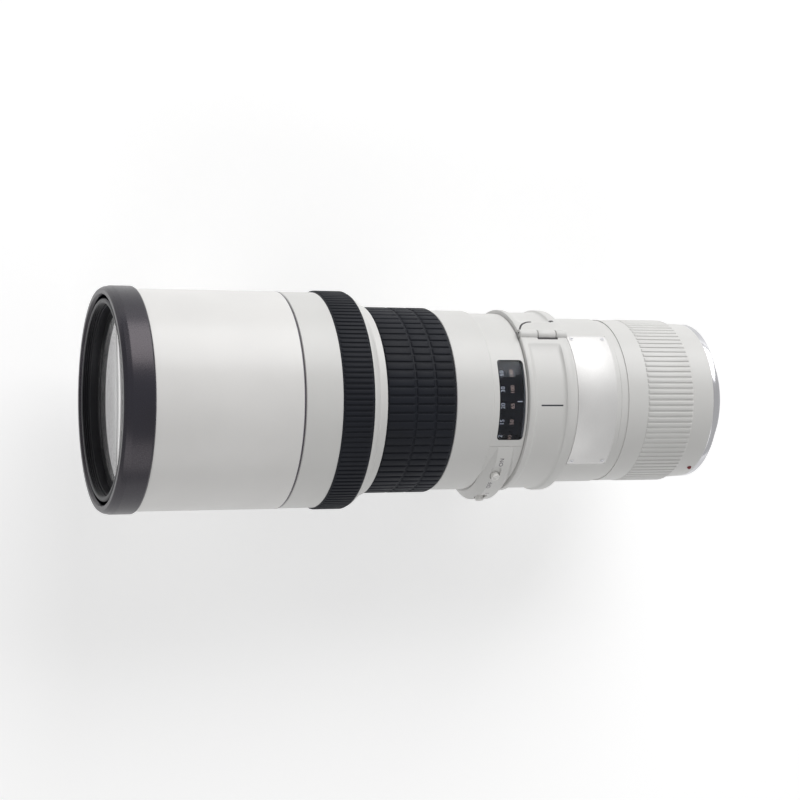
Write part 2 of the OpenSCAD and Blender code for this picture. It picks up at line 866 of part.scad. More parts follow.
module iris_base() {
    color([0.15, 0.15, 0.16]) lens_axis() {
        union() {
            tube(iris_s0, iris_s0 + iris_plate_t, iris_wall_r, iris_r);
            tube(iris_s0 + iris_plate_t / 2, iris_s0 + iris_len, iris_wall_r,
                iris_wall_r - iris_wall);
            for (k = [0 : blade_count - 1])
                rotate([0, 0, 360 * k / blade_count])
                    translate([pivot_r, 0, iris_s0 + iris_plate_t / 2])
                        cylinder(r = pivot_pin_r, h = iris_plate_t / 2 + iris_stack);
        }
    }
}

// One blade in its open place, each blade one step higher in the stack
module iris_blade(k) {
    s = iris_s0 + iris_plate_t + blade_pitch * (k + 0.5);
    rotate([0, 0, 360 * k / blade_count]) union() {
        sector(0, blade_sweep, s, s + blade_t, blade_out, blade_in);
        translate([blade_out - pivot_off, -ear_r / 2, s])
            cube([pivot_off + pivot_off - pivot_pin_r - snug, ear_r, blade_t]);
        difference() {
            union() {
                translate([pivot_r, 0, s]) cylinder(r = ear_r, h = blade_t);
                translate([pivot_r - ear_r / 2, -stud_off, s]) cube([ear_r, stud_off, blade_t]);
                translate([pivot_r, -stud_off, s]) cylinder(r = ear_r / 2, h = blade_t);
            }
            translate([pivot_r, 0, s - cut])
                cylinder(r = pivot_pin_r + snug, h = blade_t + 2 * cut);
        }
        translate([pivot_r, -stud_off, s])
            cylinder(r = stud_r, h = ring_s0 + ring_t - s);
    }
}

module iris_blade_1() { color([0.2, 0.2, 0.22]) lens_axis() iris_blade(0); }
module iris_blade_2() { color([0.2, 0.2, 0.22]) lens_axis() iris_blade(1); }
module iris_blade_3() { color([0.2, 0.2, 0.22]) lens_axis() iris_blade(2); }
module iris_blade_4() { color([0.2, 0.2, 0.22]) lens_axis() iris_blade(3); }
module iris_blade_5() { color([0.2, 0.2, 0.22]) lens_axis() iris_blade(4); }
module iris_blade_6() { color([0.2, 0.2, 0.22]) lens_axis() iris_blade(5); }
module iris_blade_7() { color([0.2, 0.2, 0.22]) lens_axis() iris_blade(6); }
module iris_blade_8() { color([0.2, 0.2, 0.22]) lens_axis() iris_blade(7); }

// Slanting slot of the iris ring, from the stud's open place to its closed one
module iris_slot() {
    p = [pivot_r, -stud_off];
    q = [pivot_r + stud_off * sin(iris_close), -stud_off * cos(iris_close)];
    q2 = [q[0] * cos(iris_ring_turn) - q[1] * sin(iris_ring_turn),
          q[0] * sin(iris_ring_turn) + q[1] * cos(iris_ring_turn)];
    d = q2 - p;
    translate([p[0], p[1], ring_s0 - cut]) rotate([0, 0, atan2(d[1], d[0])])
        translate([-iris_slot_half, -iris_slot_half, 0])
            cube([norm(d) + 2 * iris_slot_half, 2 * iris_slot_half, ring_t + 2 * cut]);
}

module iris_ring() {
    color([0.3, 0.3, 0.33]) lens_axis() difference() {
        tube(ring_s0, ring_s0 + ring_t, ring_r, ring_in - pivot_off / 2);
        for (k = [0 : blade_count - 1]) rotate([0, 0, 360 * k / blade_count]) iris_slot();
    }
}

module iris_motor() {
    s = ring_s0 + ring_t + gap;
    color([0.6, 0.6, 0.62]) lens_axis() rotate([0, 0, 200])
        translate([iris_wall_r - iris_wall - iris_motor_r - snug, 0, s])
            cylinder(r = iris_motor_r, h = iris_s0 + iris_len - s);
}

module rear_cell() {
    color([0.14, 0.14, 0.15]) lens_axis() {
        difference() {
            union() {
                disc(gt_s0, gt_s0 + rear_cell_len, rear_glass_r + rear_cell_wall);
                disc(gt_s0, gt_s0 + rear_flange_t, rear_flange_r);
            }
            disc(gt_s0 - cut, gt_s0 + rear_el_t + web_t, rear_glass_r + snug);
            disc(gt_s0 + rear_cell_len - rear_el_t - web_t, gt_s0 + rear_cell_len + cut,
                rear_glass_r + snug);
            disc(gt_s0, gt_s0 + rear_cell_len, rear_glass_r - rear_cell_wall);
        }
    }
}

module rear_element(s0) {
    curve = rear_el_share * rear_glass_r;
    glass(s0, s0 + rear_el_t, rear_glass_r, rear_cell_wall, curve, curve);
}

module rear_elements() {
    color([0.55, 0.6, 0.68, 0.4]) lens_axis() {
        rear_element(gt_s0 + web_t);
        rear_element(gt_s0 + rear_cell_len - web_t - rear_el_t);
    }
}

module rear_barrel() {
    color([0.92, 0.92, 0.9]) lens_axis() difference() {
        rotate_extrude() polygon([
            [throat_r + snug, s_tail], [mount_r, s_tail], [tail_r, s_rib - gap],
            [tail_r - gap, s_rib], [rib_seat_r, s_rib], [rib_seat_r, s_band],
            [band_r, s_band], [band_r, s_step],
            [band_r - groove_d, s_step], [band_r - groove_d, s_step + groove_w],
            [band_r - gap, s_step + groove_w], [band_r - gap, s_plate - groove_w],
            [band_r - groove_d - gap, s_plate - groove_w], [band_r - groove_d - gap, s_plate],
            [plate_sec_r, s_plate], [plate_sec_r, s_collar], [seat_r, s_collar],
            [seat_r, s_window], [rear_in, s_window], [rear_in, gt_s0], [guide_in - web_t, gt_s0],
            [guide_in - web_t, gt_s0 - rear_face_t], [rib_seat_r - tail_wall, gt_s0 - rear_face_t],
            [rib_seat_r - tail_wall, board_s + board_t + web_t],
            [rib_seat_r - tail_wall - web_t, board_s + board_t + web_t],
            [rib_seat_r - tail_wall - web_t, board_s + board_t],
            [rib_seat_r - tail_wall, board_s + board_t],
            [rib_seat_r - tail_wall, s_tail + end_wall], [throat_r + snug, s_tail + end_wall]]);
        sector(90 - plate_half, 90 + plate_half, s_plate + plate_margin,
            s_collar - plate_margin, plate_r + cut, plate_r - plate_t);
        plate_screw_holes(plate_screw_r + snug);
        for (a = screw_angles) rotate([0, 0, a]) translate([screw_pcd_r, 0, 0])
            cylinder(r = screw_shank_r + snug, h = screw_len + cut);
        radial(bead_angle, bead_s, bead_r + snug, tail_r - gap - bead_r - snug, tail_r + cut);
    }
}

module plate_screw_holes(r) {
    for (a = [90 - plate_screw_angle, 90 + plate_screw_angle],
         s = [s_plate + plate_margin + plate_screw_in, s_collar - plate_margin - plate_screw_in])
        radial(a, s, r, plate_sec_r - 1.5 * plate_t, plate_r + plate_t);
}

module rear_rib_ring() {
    color([0.9, 0.9, 0.88]) lens_axis() difference() {
        union() {
            disc(s_rib, s_band, rear_rib_r - rib_h_rear);
            bars(rear_ribs, s_rib + gap, s_band - gap, rear_rib_r, rear_rib_r - rib_h_rear - snug);
        }
        disc(s_rib - cut, s_band + cut, rib_seat_r + snug);
    }
}

module main_board() {
    color([0.1, 0.35, 0.2]) lens_axis()
        tube(board_s, board_s + board_t, rib_seat_r - tail_wall - snug, board_in);
}

module name_plate() {
    color([0.85, 0.85, 0.86]) lens_axis() difference() {
        sector(90 - plate_half + panel_seam, 90 + plate_half - panel_seam,
            s_plate + plate_margin + snug, s_collar - plate_margin - snug,
            plate_r, plate_r - plate_t);
        plate_screw_holes(plate_screw_r + snug);
    }
}

module plate_screws() {
    color([0.7, 0.7, 0.72]) lens_axis()
        for (a = [90 - plate_screw_angle, 90 + plate_screw_angle],
             s = [s_plate + plate_margin + plate_screw_in,
                  s_collar - plate_margin - plate_screw_in])
            difference() {
                radial(a, s, plate_screw_r, plate_sec_r - 1.5 * plate_t, plate_r + plate_t / 4);
                radial_box(a, s, plate_screw_r / 6, plate_screw_r / 1.5,
                    plate_r, plate_r + plate_t);
                radial_box(a, s, plate_screw_r / 1.5, plate_screw_r / 6,
                    plate_r, plate_r + plate_t);
            }
}

module mount_plate() {
    color([0.8, 0.8, 0.82]) lens_axis() difference() {
        union() {
            disc(0, mount_t, mount_r);
            tube(-bayonet_depth, cut, bayonet_r, bayonet_in);
            for (a = lug_angles)
                sector(a - lug_half, a + lug_half, -2 * lug_t, -lug_t, lug_r,
                    (bayonet_r + bayonet_in) / 2);
        }
        disc(-cut * bayonet_depth, mount_t + cut, throat_r + snug);
        for (a = screw_angles) rotate([0, 0, a]) translate([screw_pcd_r, 0, -cut]) {
            cylinder(r = screw_shank_r + snug, h = mount_t + 2 * cut);
            cylinder(r = screw_head_r + snug, h = cut + screw_sink + screw_head_t);
        }
        rotate([0, 0, lock_angle]) translate([screw_pcd_r, 0, -cut])
            cylinder(r = lock_hole_r, h = mount_t + 2 * cut);
    }
}

module mount_screws() {
    color([0.7, 0.7, 0.72]) lens_axis()
        for (a = screw_angles) rotate([0, 0, a]) translate([screw_pcd_r, 0, 0]) difference() {
            union() {
                translate([0, 0, screw_sink]) cylinder(r = screw_head_r, h = screw_head_t);
                translate([0, 0, screw_sink]) cylinder(r = screw_shank_r, h = screw_len);
            }
            for (b = [0, 90]) rotate([0, 0, b])
                translate([-screw_head_r / 1.5, -screw_head_r / 6, 0])
                    cube([screw_head_r / 0.75, screw_head_r / 3, screw_head_t / 2]);
        }
}

module rear_baffle() {
    color([0.07, 0.07, 0.08]) lens_axis() difference() {
        disc(-bayonet_depth + contact_pin_r, baffle_front, throat_r);
        disc(-bayonet_depth, baffle_front - baffle_disc, throat_r - baffle_tube_wall);
        translate([-mask_w / 2, -mask_h / 2, 0]) cube([mask_w, mask_h, baffle_front + cut]);
    }
}

module contact_block() {
    color([0.12, 0.12, 0.13]) lens_axis() sector(270 - contact_half, 270 + contact_half,
        -contact_h, 0, bayonet_in - snug, throat_r + 2 * snug);
}

module contact_pins() {
    color([0.85, 0.7, 0.35]) lens_axis()
        for (i = [0 : pin_count - 1])
            rotate([0, 0, 270 + contact_half * 0.85 * (2 * i / (pin_count - 1) - 1)])
                translate([(bayonet_in + throat_r) / 2, 0, -contact_h - contact_pin_h])
                    cylinder(r = contact_pin_r, h = contact_pin_h);
}

module index_bead() {
    color([0.8, 0.1, 0.1]) lens_axis() union() {
        radial(bead_angle, bead_s, bead_r, tail_r - plate_t, tail_r - gap);
        rotate([0, 0, bead_angle]) translate([tail_r - gap, 0, bead_s]) sphere(r = bead_r);
    }
}

// Ring of the collar between two angles, with its lips and its shallow band
module collar_ring(a0, a1, b0, b1) {
    difference() {
        sector_wide(a0, a1, collar_s0, collar_s1, collar_r, collar_in);
        sector_wide(b0, b1, collar_s0 + rear_lip, collar_s1 - front_lip, collar_r + cut,
            collar_r - recess);
    }
}

module sector_wide(a0, a1, s0, s1, ro, ri) {
    intersection() {
        tube(s0, s1, ro, ri);
        translate([0, 0, s0 - cut]) linear_extrude(height = s1 - s0 + 2 * cut)
            polygon(concat([[0, 0]], fan(a0, a1, 3 * ro)));
    }
}

// Place of the hinge pin
module at_hinge() {
    rotate([0, 0, hinge_angle]) translate([hinge_r, 0, 0]) children();
}

module knuckle(s0, s1, side) {
    at_hinge() translate([0, 0, s0]) {
        cylinder(r = knuckle_r, h = s1 - s0);
        translate([-knuckle_r, side > 0 ? 0 : -knuckle_r - pin_r, 0])
            cube([knuckle_r + pin_r / 2, knuckle_r + pin_r, s1 - s0]);
    }
}

module knuckle_room(s0, s1) {
    at_hinge() translate([0, 0, s0 - gap]) cylinder(r = knuckle_r + gap, h = s1 - s0 + 2 * gap);
}

module at_clamp() {
    rotate([0, 0, open_angle]) translate([clamp_rad, 0, clamp_s]) children();
}

module clamp_lug(side) {
    reach = clamp_rad - collar_in - cut;
    at_clamp() translate([-reach, side > 0 ? gap : -lug_block_w, -collar_w / 4])
        cube([reach + clamp_r + clamp_wall, lug_block_w - gap, collar_w / 2]);
}

module collar_upper() {
    color([0.9, 0.9, 0.88]) lens_axis() difference() {
        union() {
            difference() {
                collar_ring(open_angle - 360, hinge_angle, recess_start, recess_stop);
                knuckle_room(knuckle_mid0, knuckle_mid1);
                translate([0, 0, collar_s0 - cut]) rotate([0, 0, open_angle])
                    translate([0, -cut, 0])
                        cube([2 * collar_r, cut + gap, collar_w + 2 * cut]);
                at_hinge() translate([-2 * knuckle_r, -gap, collar_s0 - cut])
                    cube([4 * knuckle_r, gap + cut, collar_w + 2 * cut]);
            }
            knuckle(knuckle_s0, knuckle_mid0, -1);
            knuckle(knuckle_mid1, knuckle_s1, -1);
            clamp_lug(1);
        }
        tube_cut();
        at_hinge() translate([0, 0, collar_s0 - cut])
            cylinder(r = pin_r + snug, h = collar_w + 2 * cut);
        at_clamp() translate([0, -cut, 0]) rotate([-90, 0, 0])
            cylinder(r = clamp_r + gap, h = 2 * lug_block_w);
        at_clamp() translate([0, -cut, -clamp_r - gap])
            cube([2 * clamp_wall + clamp_r, 2 * lug_block_w, 2 * (clamp_r + gap)]);
        radial_box(index_angle, (collar_s0 + collar_s1) / 2, index_w / 2, index_len / 2,
            collar_r - recess - index_d, collar_r + cut);
    }
}

module tube_cut() {
    disc(collar_s0 - cut, collar_s1 + cut, collar_in);
}

module collar_lower() {
    color([0.9, 0.9, 0.88]) lens_axis() difference() {
        union() {
            difference() {
                collar_ring(hinge_angle, open_angle, hinge_angle + 12, open_angle - 12);
                knuckle_room(knuckle_s0, knuckle_mid0);
                knuckle_room(knuckle_mid1, knuckle_s1);
                at_hinge() translate([-2 * knuckle_r, -cut, collar_s0 - cut])
                    cube([4 * knuckle_r, cut, collar_w + 2 * cut]);
                translate([0, 0, collar_s0 - cut]) rotate([0, 0, open_angle])
                    translate([0, -gap, 0])
                        cube([2 * collar_r, gap + cut, collar_w + 2 * cut]);
            }
            knuckle(knuckle_mid0 + gap, knuckle_mid1 - gap, 1);
            clamp_lug(-1);
            foot_body();
        }
        tube_cut();
        at_hinge() translate([0, 0, collar_s0 - cut])
            cylinder(r = pin_r + run_fit, h = collar_w + 2 * cut);
        at_clamp() translate([0, cut, 0]) rotate([90, 0, 0])
            cylinder(r = clamp_r + snug, h = 2 * lug_block_w);
        translate([0, -foot_drop - cut, foot_s]) rotate([-90, 0, 0])
            cylinder(r = bush_r + snug, h = bush_h + cut);
    }
}

// Block under the collar with round upright corners, from height y0 to y1
module round_block(w, l, c, y0, y1) {
    translate([0, y0, foot_s]) rotate([-90, 0, 0]) linear_extrude(height = y1 - y0) union() {
        square([w - 2 * c, l], center = true);
        square([w, l - 2 * c], center = true);
        for (x = [c - w / 2, w / 2 - c], z = [c - l / 2, l / 2 - c])
            translate([x, z]) circle(r = c);
    }
}

module foot_body() {
    round_block(neck_w, neck_len, neck_corner, -foot_drop, -collar_in);
    round_block(foot_w, foot_len, foot_corner, -foot_drop, foot_t - foot_drop);
}

module foot_bush() {
    color([0.75, 0.75, 0.77]) lens_axis() translate([0, -foot_drop, foot_s])
        rotate([-90, 0, 0]) difference() {
            cylinder(r = bush_r, h = bush_h);
            translate([0, 0, -cut]) cylinder(r = bush_bore_r, h = bush_h);
        }
}

module hinge_pin() {
    color([0.7, 0.7, 0.72]) lens_axis() at_hinge() translate([0, 0, knuckle_s0 + gap])
        cylinder(r = pin_r, h = knuckle_s1 - knuckle_s0 - 2 * gap);
}

// Fluted knob on the lower lug, with a screw that reaches through the upper one
module clamp_knob() {
    color([0.15, 0.15, 0.16]) lens_axis() at_clamp() rotate([90, 0, 0]) union() {
        difference() {
            translate([0, 0, lug_block_w + gap]) cylinder(r = knob_r, h = knob_t);
            for (i = [0 : knob_flutes - 1]) rotate([0, 0, 360 * i / knob_flutes])
                translate([knob_r + flute_r / 3, 0, lug_block_w])
                    cylinder(r = flute_r, h = knob_t + 2 * cut);
        }
        translate([0, 0, -lug_block_w]) cylinder(r = clamp_r - snug, h = 2 * lug_block_w + cut);
    }
}

hood_rim();
hood_tube();
hood_lining();
hood_guide_ring();
front_barrel();
ridged_ring();
shoulder_ring();
filter_ring();
front_retainer();
element_1();
element_2();
element_3();
front_spacers();
front_baffle();
focus_grip();
focus_ring();
motor_stator();
motor_rotor();
drive_rollers();
cam_tube();
scale_drum();
focus_cell();
cam_rollers();
focus_element();
guide_tube();
distance_window();
centre_barrel();
window_housing();
switch_panel();
focus_mode_knob();
range_knob();
iris_base();
iris_ring();
iris_motor();
iris_blade_1();
iris_blade_2();
iris_blade_3();
iris_blade_4();
iris_blade_5();
iris_blade_6();
iris_blade_7();
iris_blade_8();
rear_cell();
rear_elements();
rear_barrel();
rear_rib_ring();
main_board();
name_plate();
plate_screws();
mount_plate();
mount_screws();
rear_baffle();
contact_block();
contact_pins();
collar_upper();
collar_lower();
hinge_pin();
clamp_knob();
foot_bush();
index_bead();
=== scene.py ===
"""Looks for a long telephoto lens: finer meshes, procedural materials, light and camera.

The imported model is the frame: origin at the bayonet flange, front along -Y, +Z up,
switch panel on +X. Profiles are written in millimetres, as places s forward of the
flange and radii about the optical axis; angles run from +X through +Z.
"""

import json
import math

import bmesh
import bpy
from mathutils import Matrix, Vector


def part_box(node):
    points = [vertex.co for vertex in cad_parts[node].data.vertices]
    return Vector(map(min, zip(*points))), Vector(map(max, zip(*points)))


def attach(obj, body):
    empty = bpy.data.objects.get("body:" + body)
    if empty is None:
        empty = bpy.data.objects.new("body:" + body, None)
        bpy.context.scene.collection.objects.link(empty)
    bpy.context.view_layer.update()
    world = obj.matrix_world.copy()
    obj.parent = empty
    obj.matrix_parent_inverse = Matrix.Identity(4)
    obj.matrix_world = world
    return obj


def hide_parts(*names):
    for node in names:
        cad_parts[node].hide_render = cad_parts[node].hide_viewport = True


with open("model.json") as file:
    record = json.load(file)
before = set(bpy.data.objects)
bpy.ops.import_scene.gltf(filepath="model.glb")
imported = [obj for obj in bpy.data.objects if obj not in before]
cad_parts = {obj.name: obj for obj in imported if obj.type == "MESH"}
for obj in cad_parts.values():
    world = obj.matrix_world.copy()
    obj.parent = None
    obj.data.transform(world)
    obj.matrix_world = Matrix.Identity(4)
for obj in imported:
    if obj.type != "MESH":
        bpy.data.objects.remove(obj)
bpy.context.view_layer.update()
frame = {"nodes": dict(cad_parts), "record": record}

MM = 0.001
NODES = frame["nodes"]

# Fineness of the meshes
TURN_STEPS = 192        # facets round a full turn
SMALL_TURN_STEPS = 48   # facets round a button or a knuckle
ARC_STEPS = 4           # facets in a rounded corner of an outline
CORNER_STEPS = 6        # facets in a rounded corner of a plate
HOLD = 0.05             # distance of the loops that hold a flat beside a corner, mm

# Colour of the matt black inside the tubes, and the radius inside which each has it, mm
LINING = (0.006, 0.006, 0.007)
LINED_NODES = {"front_barrel": 39.4, "guide_tube": 28.0}

# CAD nodes whose edges are eased, with the width in mm
SOFT_EDGES = {"clamp_knob": 0.3, "mount_plate": 0.15}
WELD_REACH = 0.00001    # metres

# Size of the slow drift in a coating's colour, as the scale of its noise
DRIFT_SCALE = 45.0

# Front group: each glass is its thickness and the radii of its front and rear faces, mm
GLASS_R = 36.5
GLASS_RIM = 1.5         # ground border outside the curved faces
GLASS_SEAT = 248.1
GLASS_BOSS = 2.4        # step from the seat up to the curved face of the front glass
FRONT_GLASS = (4.5, 450.0, 600.0)
SECOND_GLASS = (3.5, 150.0, 900.0)
THIRD_GLASS = (7.0, -400.0, -180.0)
GAP_BEHIND_FRONT = 8.0
GAP_BEHIND_SECOND = 1.5

# Numbers on the drum, from one end of its turn to the other
METRES = ["50", "30", "20", "15", "12", "10", "8", "7", "6", "5", "4"]
FEET = ["160", "100", "65", "50", "40", "33", "26", "23", "20", "16", "13"]
FIRST_NUMBER_ANGLE = 108.0
NUMBER_STEP = 11.0
METRE_SIZE = 2.5
METRE_SHARE = 0.66      # place of the row, as a share of the drum's length
FOOT_SIZE = 2.3
FOOT_SHARE = 0.35

# Switch hump: its own axis lies HUMP_X beside the optical one, mm
HUMP_X = 8.8
HUMP_R = 32.8
BUTTON_ANGLES = {"focus_mode_knob": 47.0, "range_knob": 13.0}
BUTTON_R = 1.75
BUTTON_HEIGHT = 1.1
BUTTON_DEPTH = 0.95
SWITCH_MARK_SIZE = 2.5

# Tripod collar, mm and degrees
COLLAR_IN = 34.5
COLLAR_R = 38.0
RECESS = 1.0            # depth of the hollow band round the collar
RECESS_ENDS = 9.0       # angle over which the recess fades in
REAR_LIP = 4.0
FRONT_LIP = 2.4
HINGE_R = 37.3
HINGE_ANGLE = 135.5
KNUCKLE_R = 2.2
PIN_BORE = 1.25
HINGE_SLOT = 3.7        # angle cut from the collar on each side of the pin
HINGE_PLAY = 0.2        # angle between the two halves
REAR_EAR = 4.6
FRONT_EAR = 7.8
EAR_GAP = 0.3
CLAMP_ANGLE = 305.0
CLAMP_RAD = 45.3
LUG_W = 5.0
LUG_END = 4.5
LUG_GAP = 0.3
BOLT_R = 2.05
BOLT_ROOM = 2.3         # half width of the fork's slot

# Dark lines of painted shade along the gaps round the hinge, on the collar's radius: name, body,
# (angle, s) points and width, mm
SEAM_SHADE_LINES = (
    ("ear_seam", "collar_lower", ((136.0, 88.9), (138.4, 88.2), (141.0, 87.3), (143.4, 86.4),
                                  (145.4, 85.2), (147.2, 83.4), (147.9, 82.0), (148.0, 80.7)),
     0.75),
    ("knuckle_shadow", "collar_upper", ((131.6, 81.4), (131.6, 72.5)), 1.0),
    ("knuckle_end_shade", "collar_upper", ((131.6, 72.5), (133.6, 72.5)), 0.6),
    ("rear_seam", "collar_lower", ((148.4, 72.2), (149.3, 71.6), (149.4, 70.4)), 1.1),
)

# Dark rings of painted shade in the gaps of the barrel: name, both ends, inner and outer radius,
# mm
GAP_SHADE_RINGS = (
    ("hood_gap_shade", 185.28, 185.58, 41.0, 43.2),
    ("collar_gap_shade", 89.1, 89.28, 34.9, 35.9),
)

# Camera: the picture's right, its up and the way back from the lens, in the row frame
CAMERA_PLACE = (0.0, -0.4175, 0.7722)
CAMERA_RIGHT = (0.0, 0.9375, 0.3479)
CAMERA_UP = (-1.0, 0.0, 0.0)
CAMERA_BACK = (0.0, -0.3479, 0.9375)
CAMERA_LENS = 89.55
SENSOR_WIDTH = 36.0

# Light and floor, metres and watts
MIDDLE = (0.0, -0.13, 0.0)
KEY_PLACE = (-1.55, 0.45, 0.95)
KEY_SIZE = (1.5, 1.6)
KEY_POWER = 28.5
FILL_PLACE = (1.3, -0.45, 0.9)
FILL_SIZE = (1.7, 0.9)
FILL_POWER = 6.0
AMBIENT = 0.32          # strength of the world as light
MIRRORED = 0.65         # strength of the world in reflections
BACKDROP = 1.0          # strength of the world as the camera sees it
FLOOR_HALF = 6.0
FLOOR_DROP = 0.0002     # room between the foot and the floor
FLOOR_COLOR = (0.80, 0.80, 0.80, 1.0)
FLOOR_GLOW = 0.42       # glow of the floor under the lens
FAR_GLOW = 0.95         # glow of the floor far from it
GLOW_REACH = (0.4, 1.8)


# Places from the frame

def rear_s(node):
    """Rear end of a CAD node along the axis, in mm forward of the flange."""
    return -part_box(node)[1][1] / MM


def front_s(node):
    """Front end of a CAD node along the axis, in mm forward of the flange."""
    return -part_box(node)[0][1] / MM


def outer_r(node):
    """Outside radius of a round CAD node, in mm."""
    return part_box(node)[1][0] / MM


def polar(r, angle, s):
    """Point at radius r, angle in degrees and place s, all mm, as metres in the row frame."""
    a = math.radians(angle)
    return Vector((r * math.cos(a) * MM, -s * MM, r * math.sin(a) * MM))


# Meshes

def finish_mesh(bm, name, angle=40.0):
    """Turns a bmesh into a shaded object; edges sharper than angle stay sharp."""
    bmesh.ops.remove_doubles(bm, verts=bm.verts, dist=1e-7)
    bmesh.ops.recalc_face_normals(bm, faces=bm.faces)
    mesh = bpy.data.meshes.new(name)
    bm.to_mesh(mesh)
    bm.free()
    for polygon in mesh.polygons:
        polygon.use_smooth = True
    mesh.set_sharp_from_angle(angle=math.radians(angle))
    piece = bpy.data.objects.new(name, mesh)
    bpy.context.scene.collection.objects.link(piece)
    return piece


def rounded(corners, closed=True):
    """Outline through corners (s, r, fillet), with arcs at the corners and held flats."""
    points = []
    n = len(corners)
    for i, (s, r, fillet) in enumerate(corners):
        here = Vector((s, r))
        open_end = not closed and i in (0, n - 1)
        if fillet <= 0 or open_end:
            points.append(here)
            continue
        to_last = Vector(corners[i - 1][:2]) - here
        to_next = Vector(corners[(i + 1) % n][:2]) - here
        u, v = to_last.normalized(), to_next.normalized()
        turn = math.acos(max(-1.0, min(1.0, u.dot(v))))
        if turn > math.pi - 0.02:
            points.append(here)
            continue
        back = min(fillet / math.tan(turn / 2), 0.48 * to_last.length, 0.48 * to_next.length)
        radius = back * math.tan(turn / 2)
        centre = here + (u + v).normalized() * radius / math.sin(turn / 2)
        start, end = here + u * back, here + v * back
        if to_last.length - back > 4 * HOLD:
            points.append(start + u * HOLD)
        from_c, to_c = start - centre, end - centre
        sweep = from_c.angle_signed(to_c)
        for k in range(ARC_STEPS + 1):
            spin = Matrix.Rotation(-sweep * k / ARC_STEPS, 2)
            points.append(centre + spin @ from_c)
        if to_next.length - back > 4 * HOLD:
            points.append(end + v * HOLD)
    return points


def lathe(name, points, steps=TURN_STEPS, closed=True, start=0.0, sweep=360.0, angle=40.0):
    """Turns an outline of (s, r) points about the axis, through sweep degrees."""
    bm = bmesh.new()
    full = abs(sweep - 360.0) < 1e-6
    columns = steps if full else steps + 1
    rings = []
    for k in range(columns):
        a = start + sweep * k / steps
        rings.append([bm.verts.new(polar(p[1], a, p[0])) for p in points])
    rows = len(points) if closed else len(points) - 1
    for k in range(steps):
        here, there = rings[k], rings[(k + 1) % columns]
        for i in range(rows):
            j = (i + 1) % len(points)
            bm.faces.new((here[i], there[i], there[j], here[j]))
    if not full and closed:
        bm.faces.new(rings[0])
        bm.faces.new(list(reversed(rings[-1])))
    return finish_mesh(bm, name, angle)


def ribbed(name, rows, count, shape, angle=40.0):
    """A ring with ribs along the axis.

    rows are (s, r, height) round the closed section; shape is (place, share) over one rib.
    """
    bm = bmesh.new()
    rings = []
    for k in range(count):
        for place, share in shape:
            a = 360.0 * (k + place) / count
            rings.append([bm.verts.new(polar(r + h * share, a, s)) for s, r, h in rows])
    for k, here in enumerate(rings):
        there = rings[(k + 1) % len(rings)]
        for i in range(len(rows)):
            j = (i + 1) % len(rows)
            bm.faces.new((here[i], there[i], there[j], here[j]))
    return finish_mesh(bm, name, angle)


def patch(name, middle, half, s0, s1, corner, layers, columns=36, axis_x=0.0, angle=40.0):
    """A curved plate with round corners, lying round the axis.

    middle is its angle, half its half width along the arc, mm; layers are (r, inset) from
    the bottom face to the top one. axis_x moves the axis of the curve sideways.
    """
    ref = layers[-1][0]
    bm = bmesh.new()
    grids = []
    for r, inset in layers:
        reach, round_r = half - inset, max(corner - inset, 0.02)
        near = [round_r * (1 - math.cos(math.pi / 2 * k / CORNER_STEPS))
                for k in range(CORNER_STEPS)]
        span = 2 * (reach - round_r)
        places = [-reach + x for x in near]
        places += [-reach + round_r + span * k / columns for k in range(columns + 1)]
        places += [reach - x for x in reversed(near)]
        low, high = [], []
        for u in places:
            over = max(0.0, abs(u) - (reach - round_r))
            cut = round_r - math.sqrt(max(0.0, round_r ** 2 - over ** 2))
            a = middle + math.degrees(u / ref)
            shift = Vector((axis_x * MM, 0.0, 0.0))
            low.append(bm.verts.new(polar(r, a, s0 + inset + cut) + shift))
            high.append(bm.verts.new(polar(r, a, s1 - inset - cut) + shift))
        grids.append((low, high))
    for low, high in (grids[0], grids[-1]):
        for k in range(len(low) - 1):
            bm.faces.new((low[k], low[k + 1], high[k + 1], high[k]))
    for (low, high), (next_low, next_high) in zip(grids, grids[1:]):
        here, there = low + high[::-1], next_low + next_high[::-1]
        for k in range(len(here)):
            j = (k + 1) % len(here)
            bm.faces.new((here[k], here[j], there[j], there[k]))
    bmesh.ops.dissolve_degenerate(bm, dist=1e-8, edges=bm.edges)
    return finish_mesh(bm, name, angle)


def plate_layers(top, depth, edge):
    """Layers of a plate whose top edge is rounded by edge."""
    return [(top - depth, 0.0), (top - edge, 0.0), (top - 0.3 * edge, 0.3 * edge), (top, edge)]


def stroke(name, points, width, r, height=0.03):
    """A thin line of paint through (angle, s) points on radius r, as a raised strip."""
    places = [Vector((math.radians(a) * r, s)) for a, s in points]
    bm = bmesh.new()
    rows = []
    for k, here in enumerate(places):
        ahead = places[min(k + 1, len(places) - 1)] - places[max(k - 1, 0)]
        side = Vector((-ahead.y, ahead.x)).normalized() * width / 2
        row = []
        for top in (0.0, height):
            for edge in (here - side, here + side):
                row.append(bm.verts.new(polar(r + top, math.degrees(edge.x / r), edge.y)))
        rows.append(row)
    for one, two in zip(rows, rows[1:]):
        for i, j in ((0, 1), (1, 3), (3, 2), (2, 0)):
            bm.faces.new((one[i], one[j], two[j], two[i]))
    for row in (rows[0], rows[-1]):
        bm.faces.new((row[0], row[1], row[3], row[2]))
    return finish_mesh(bm, name)


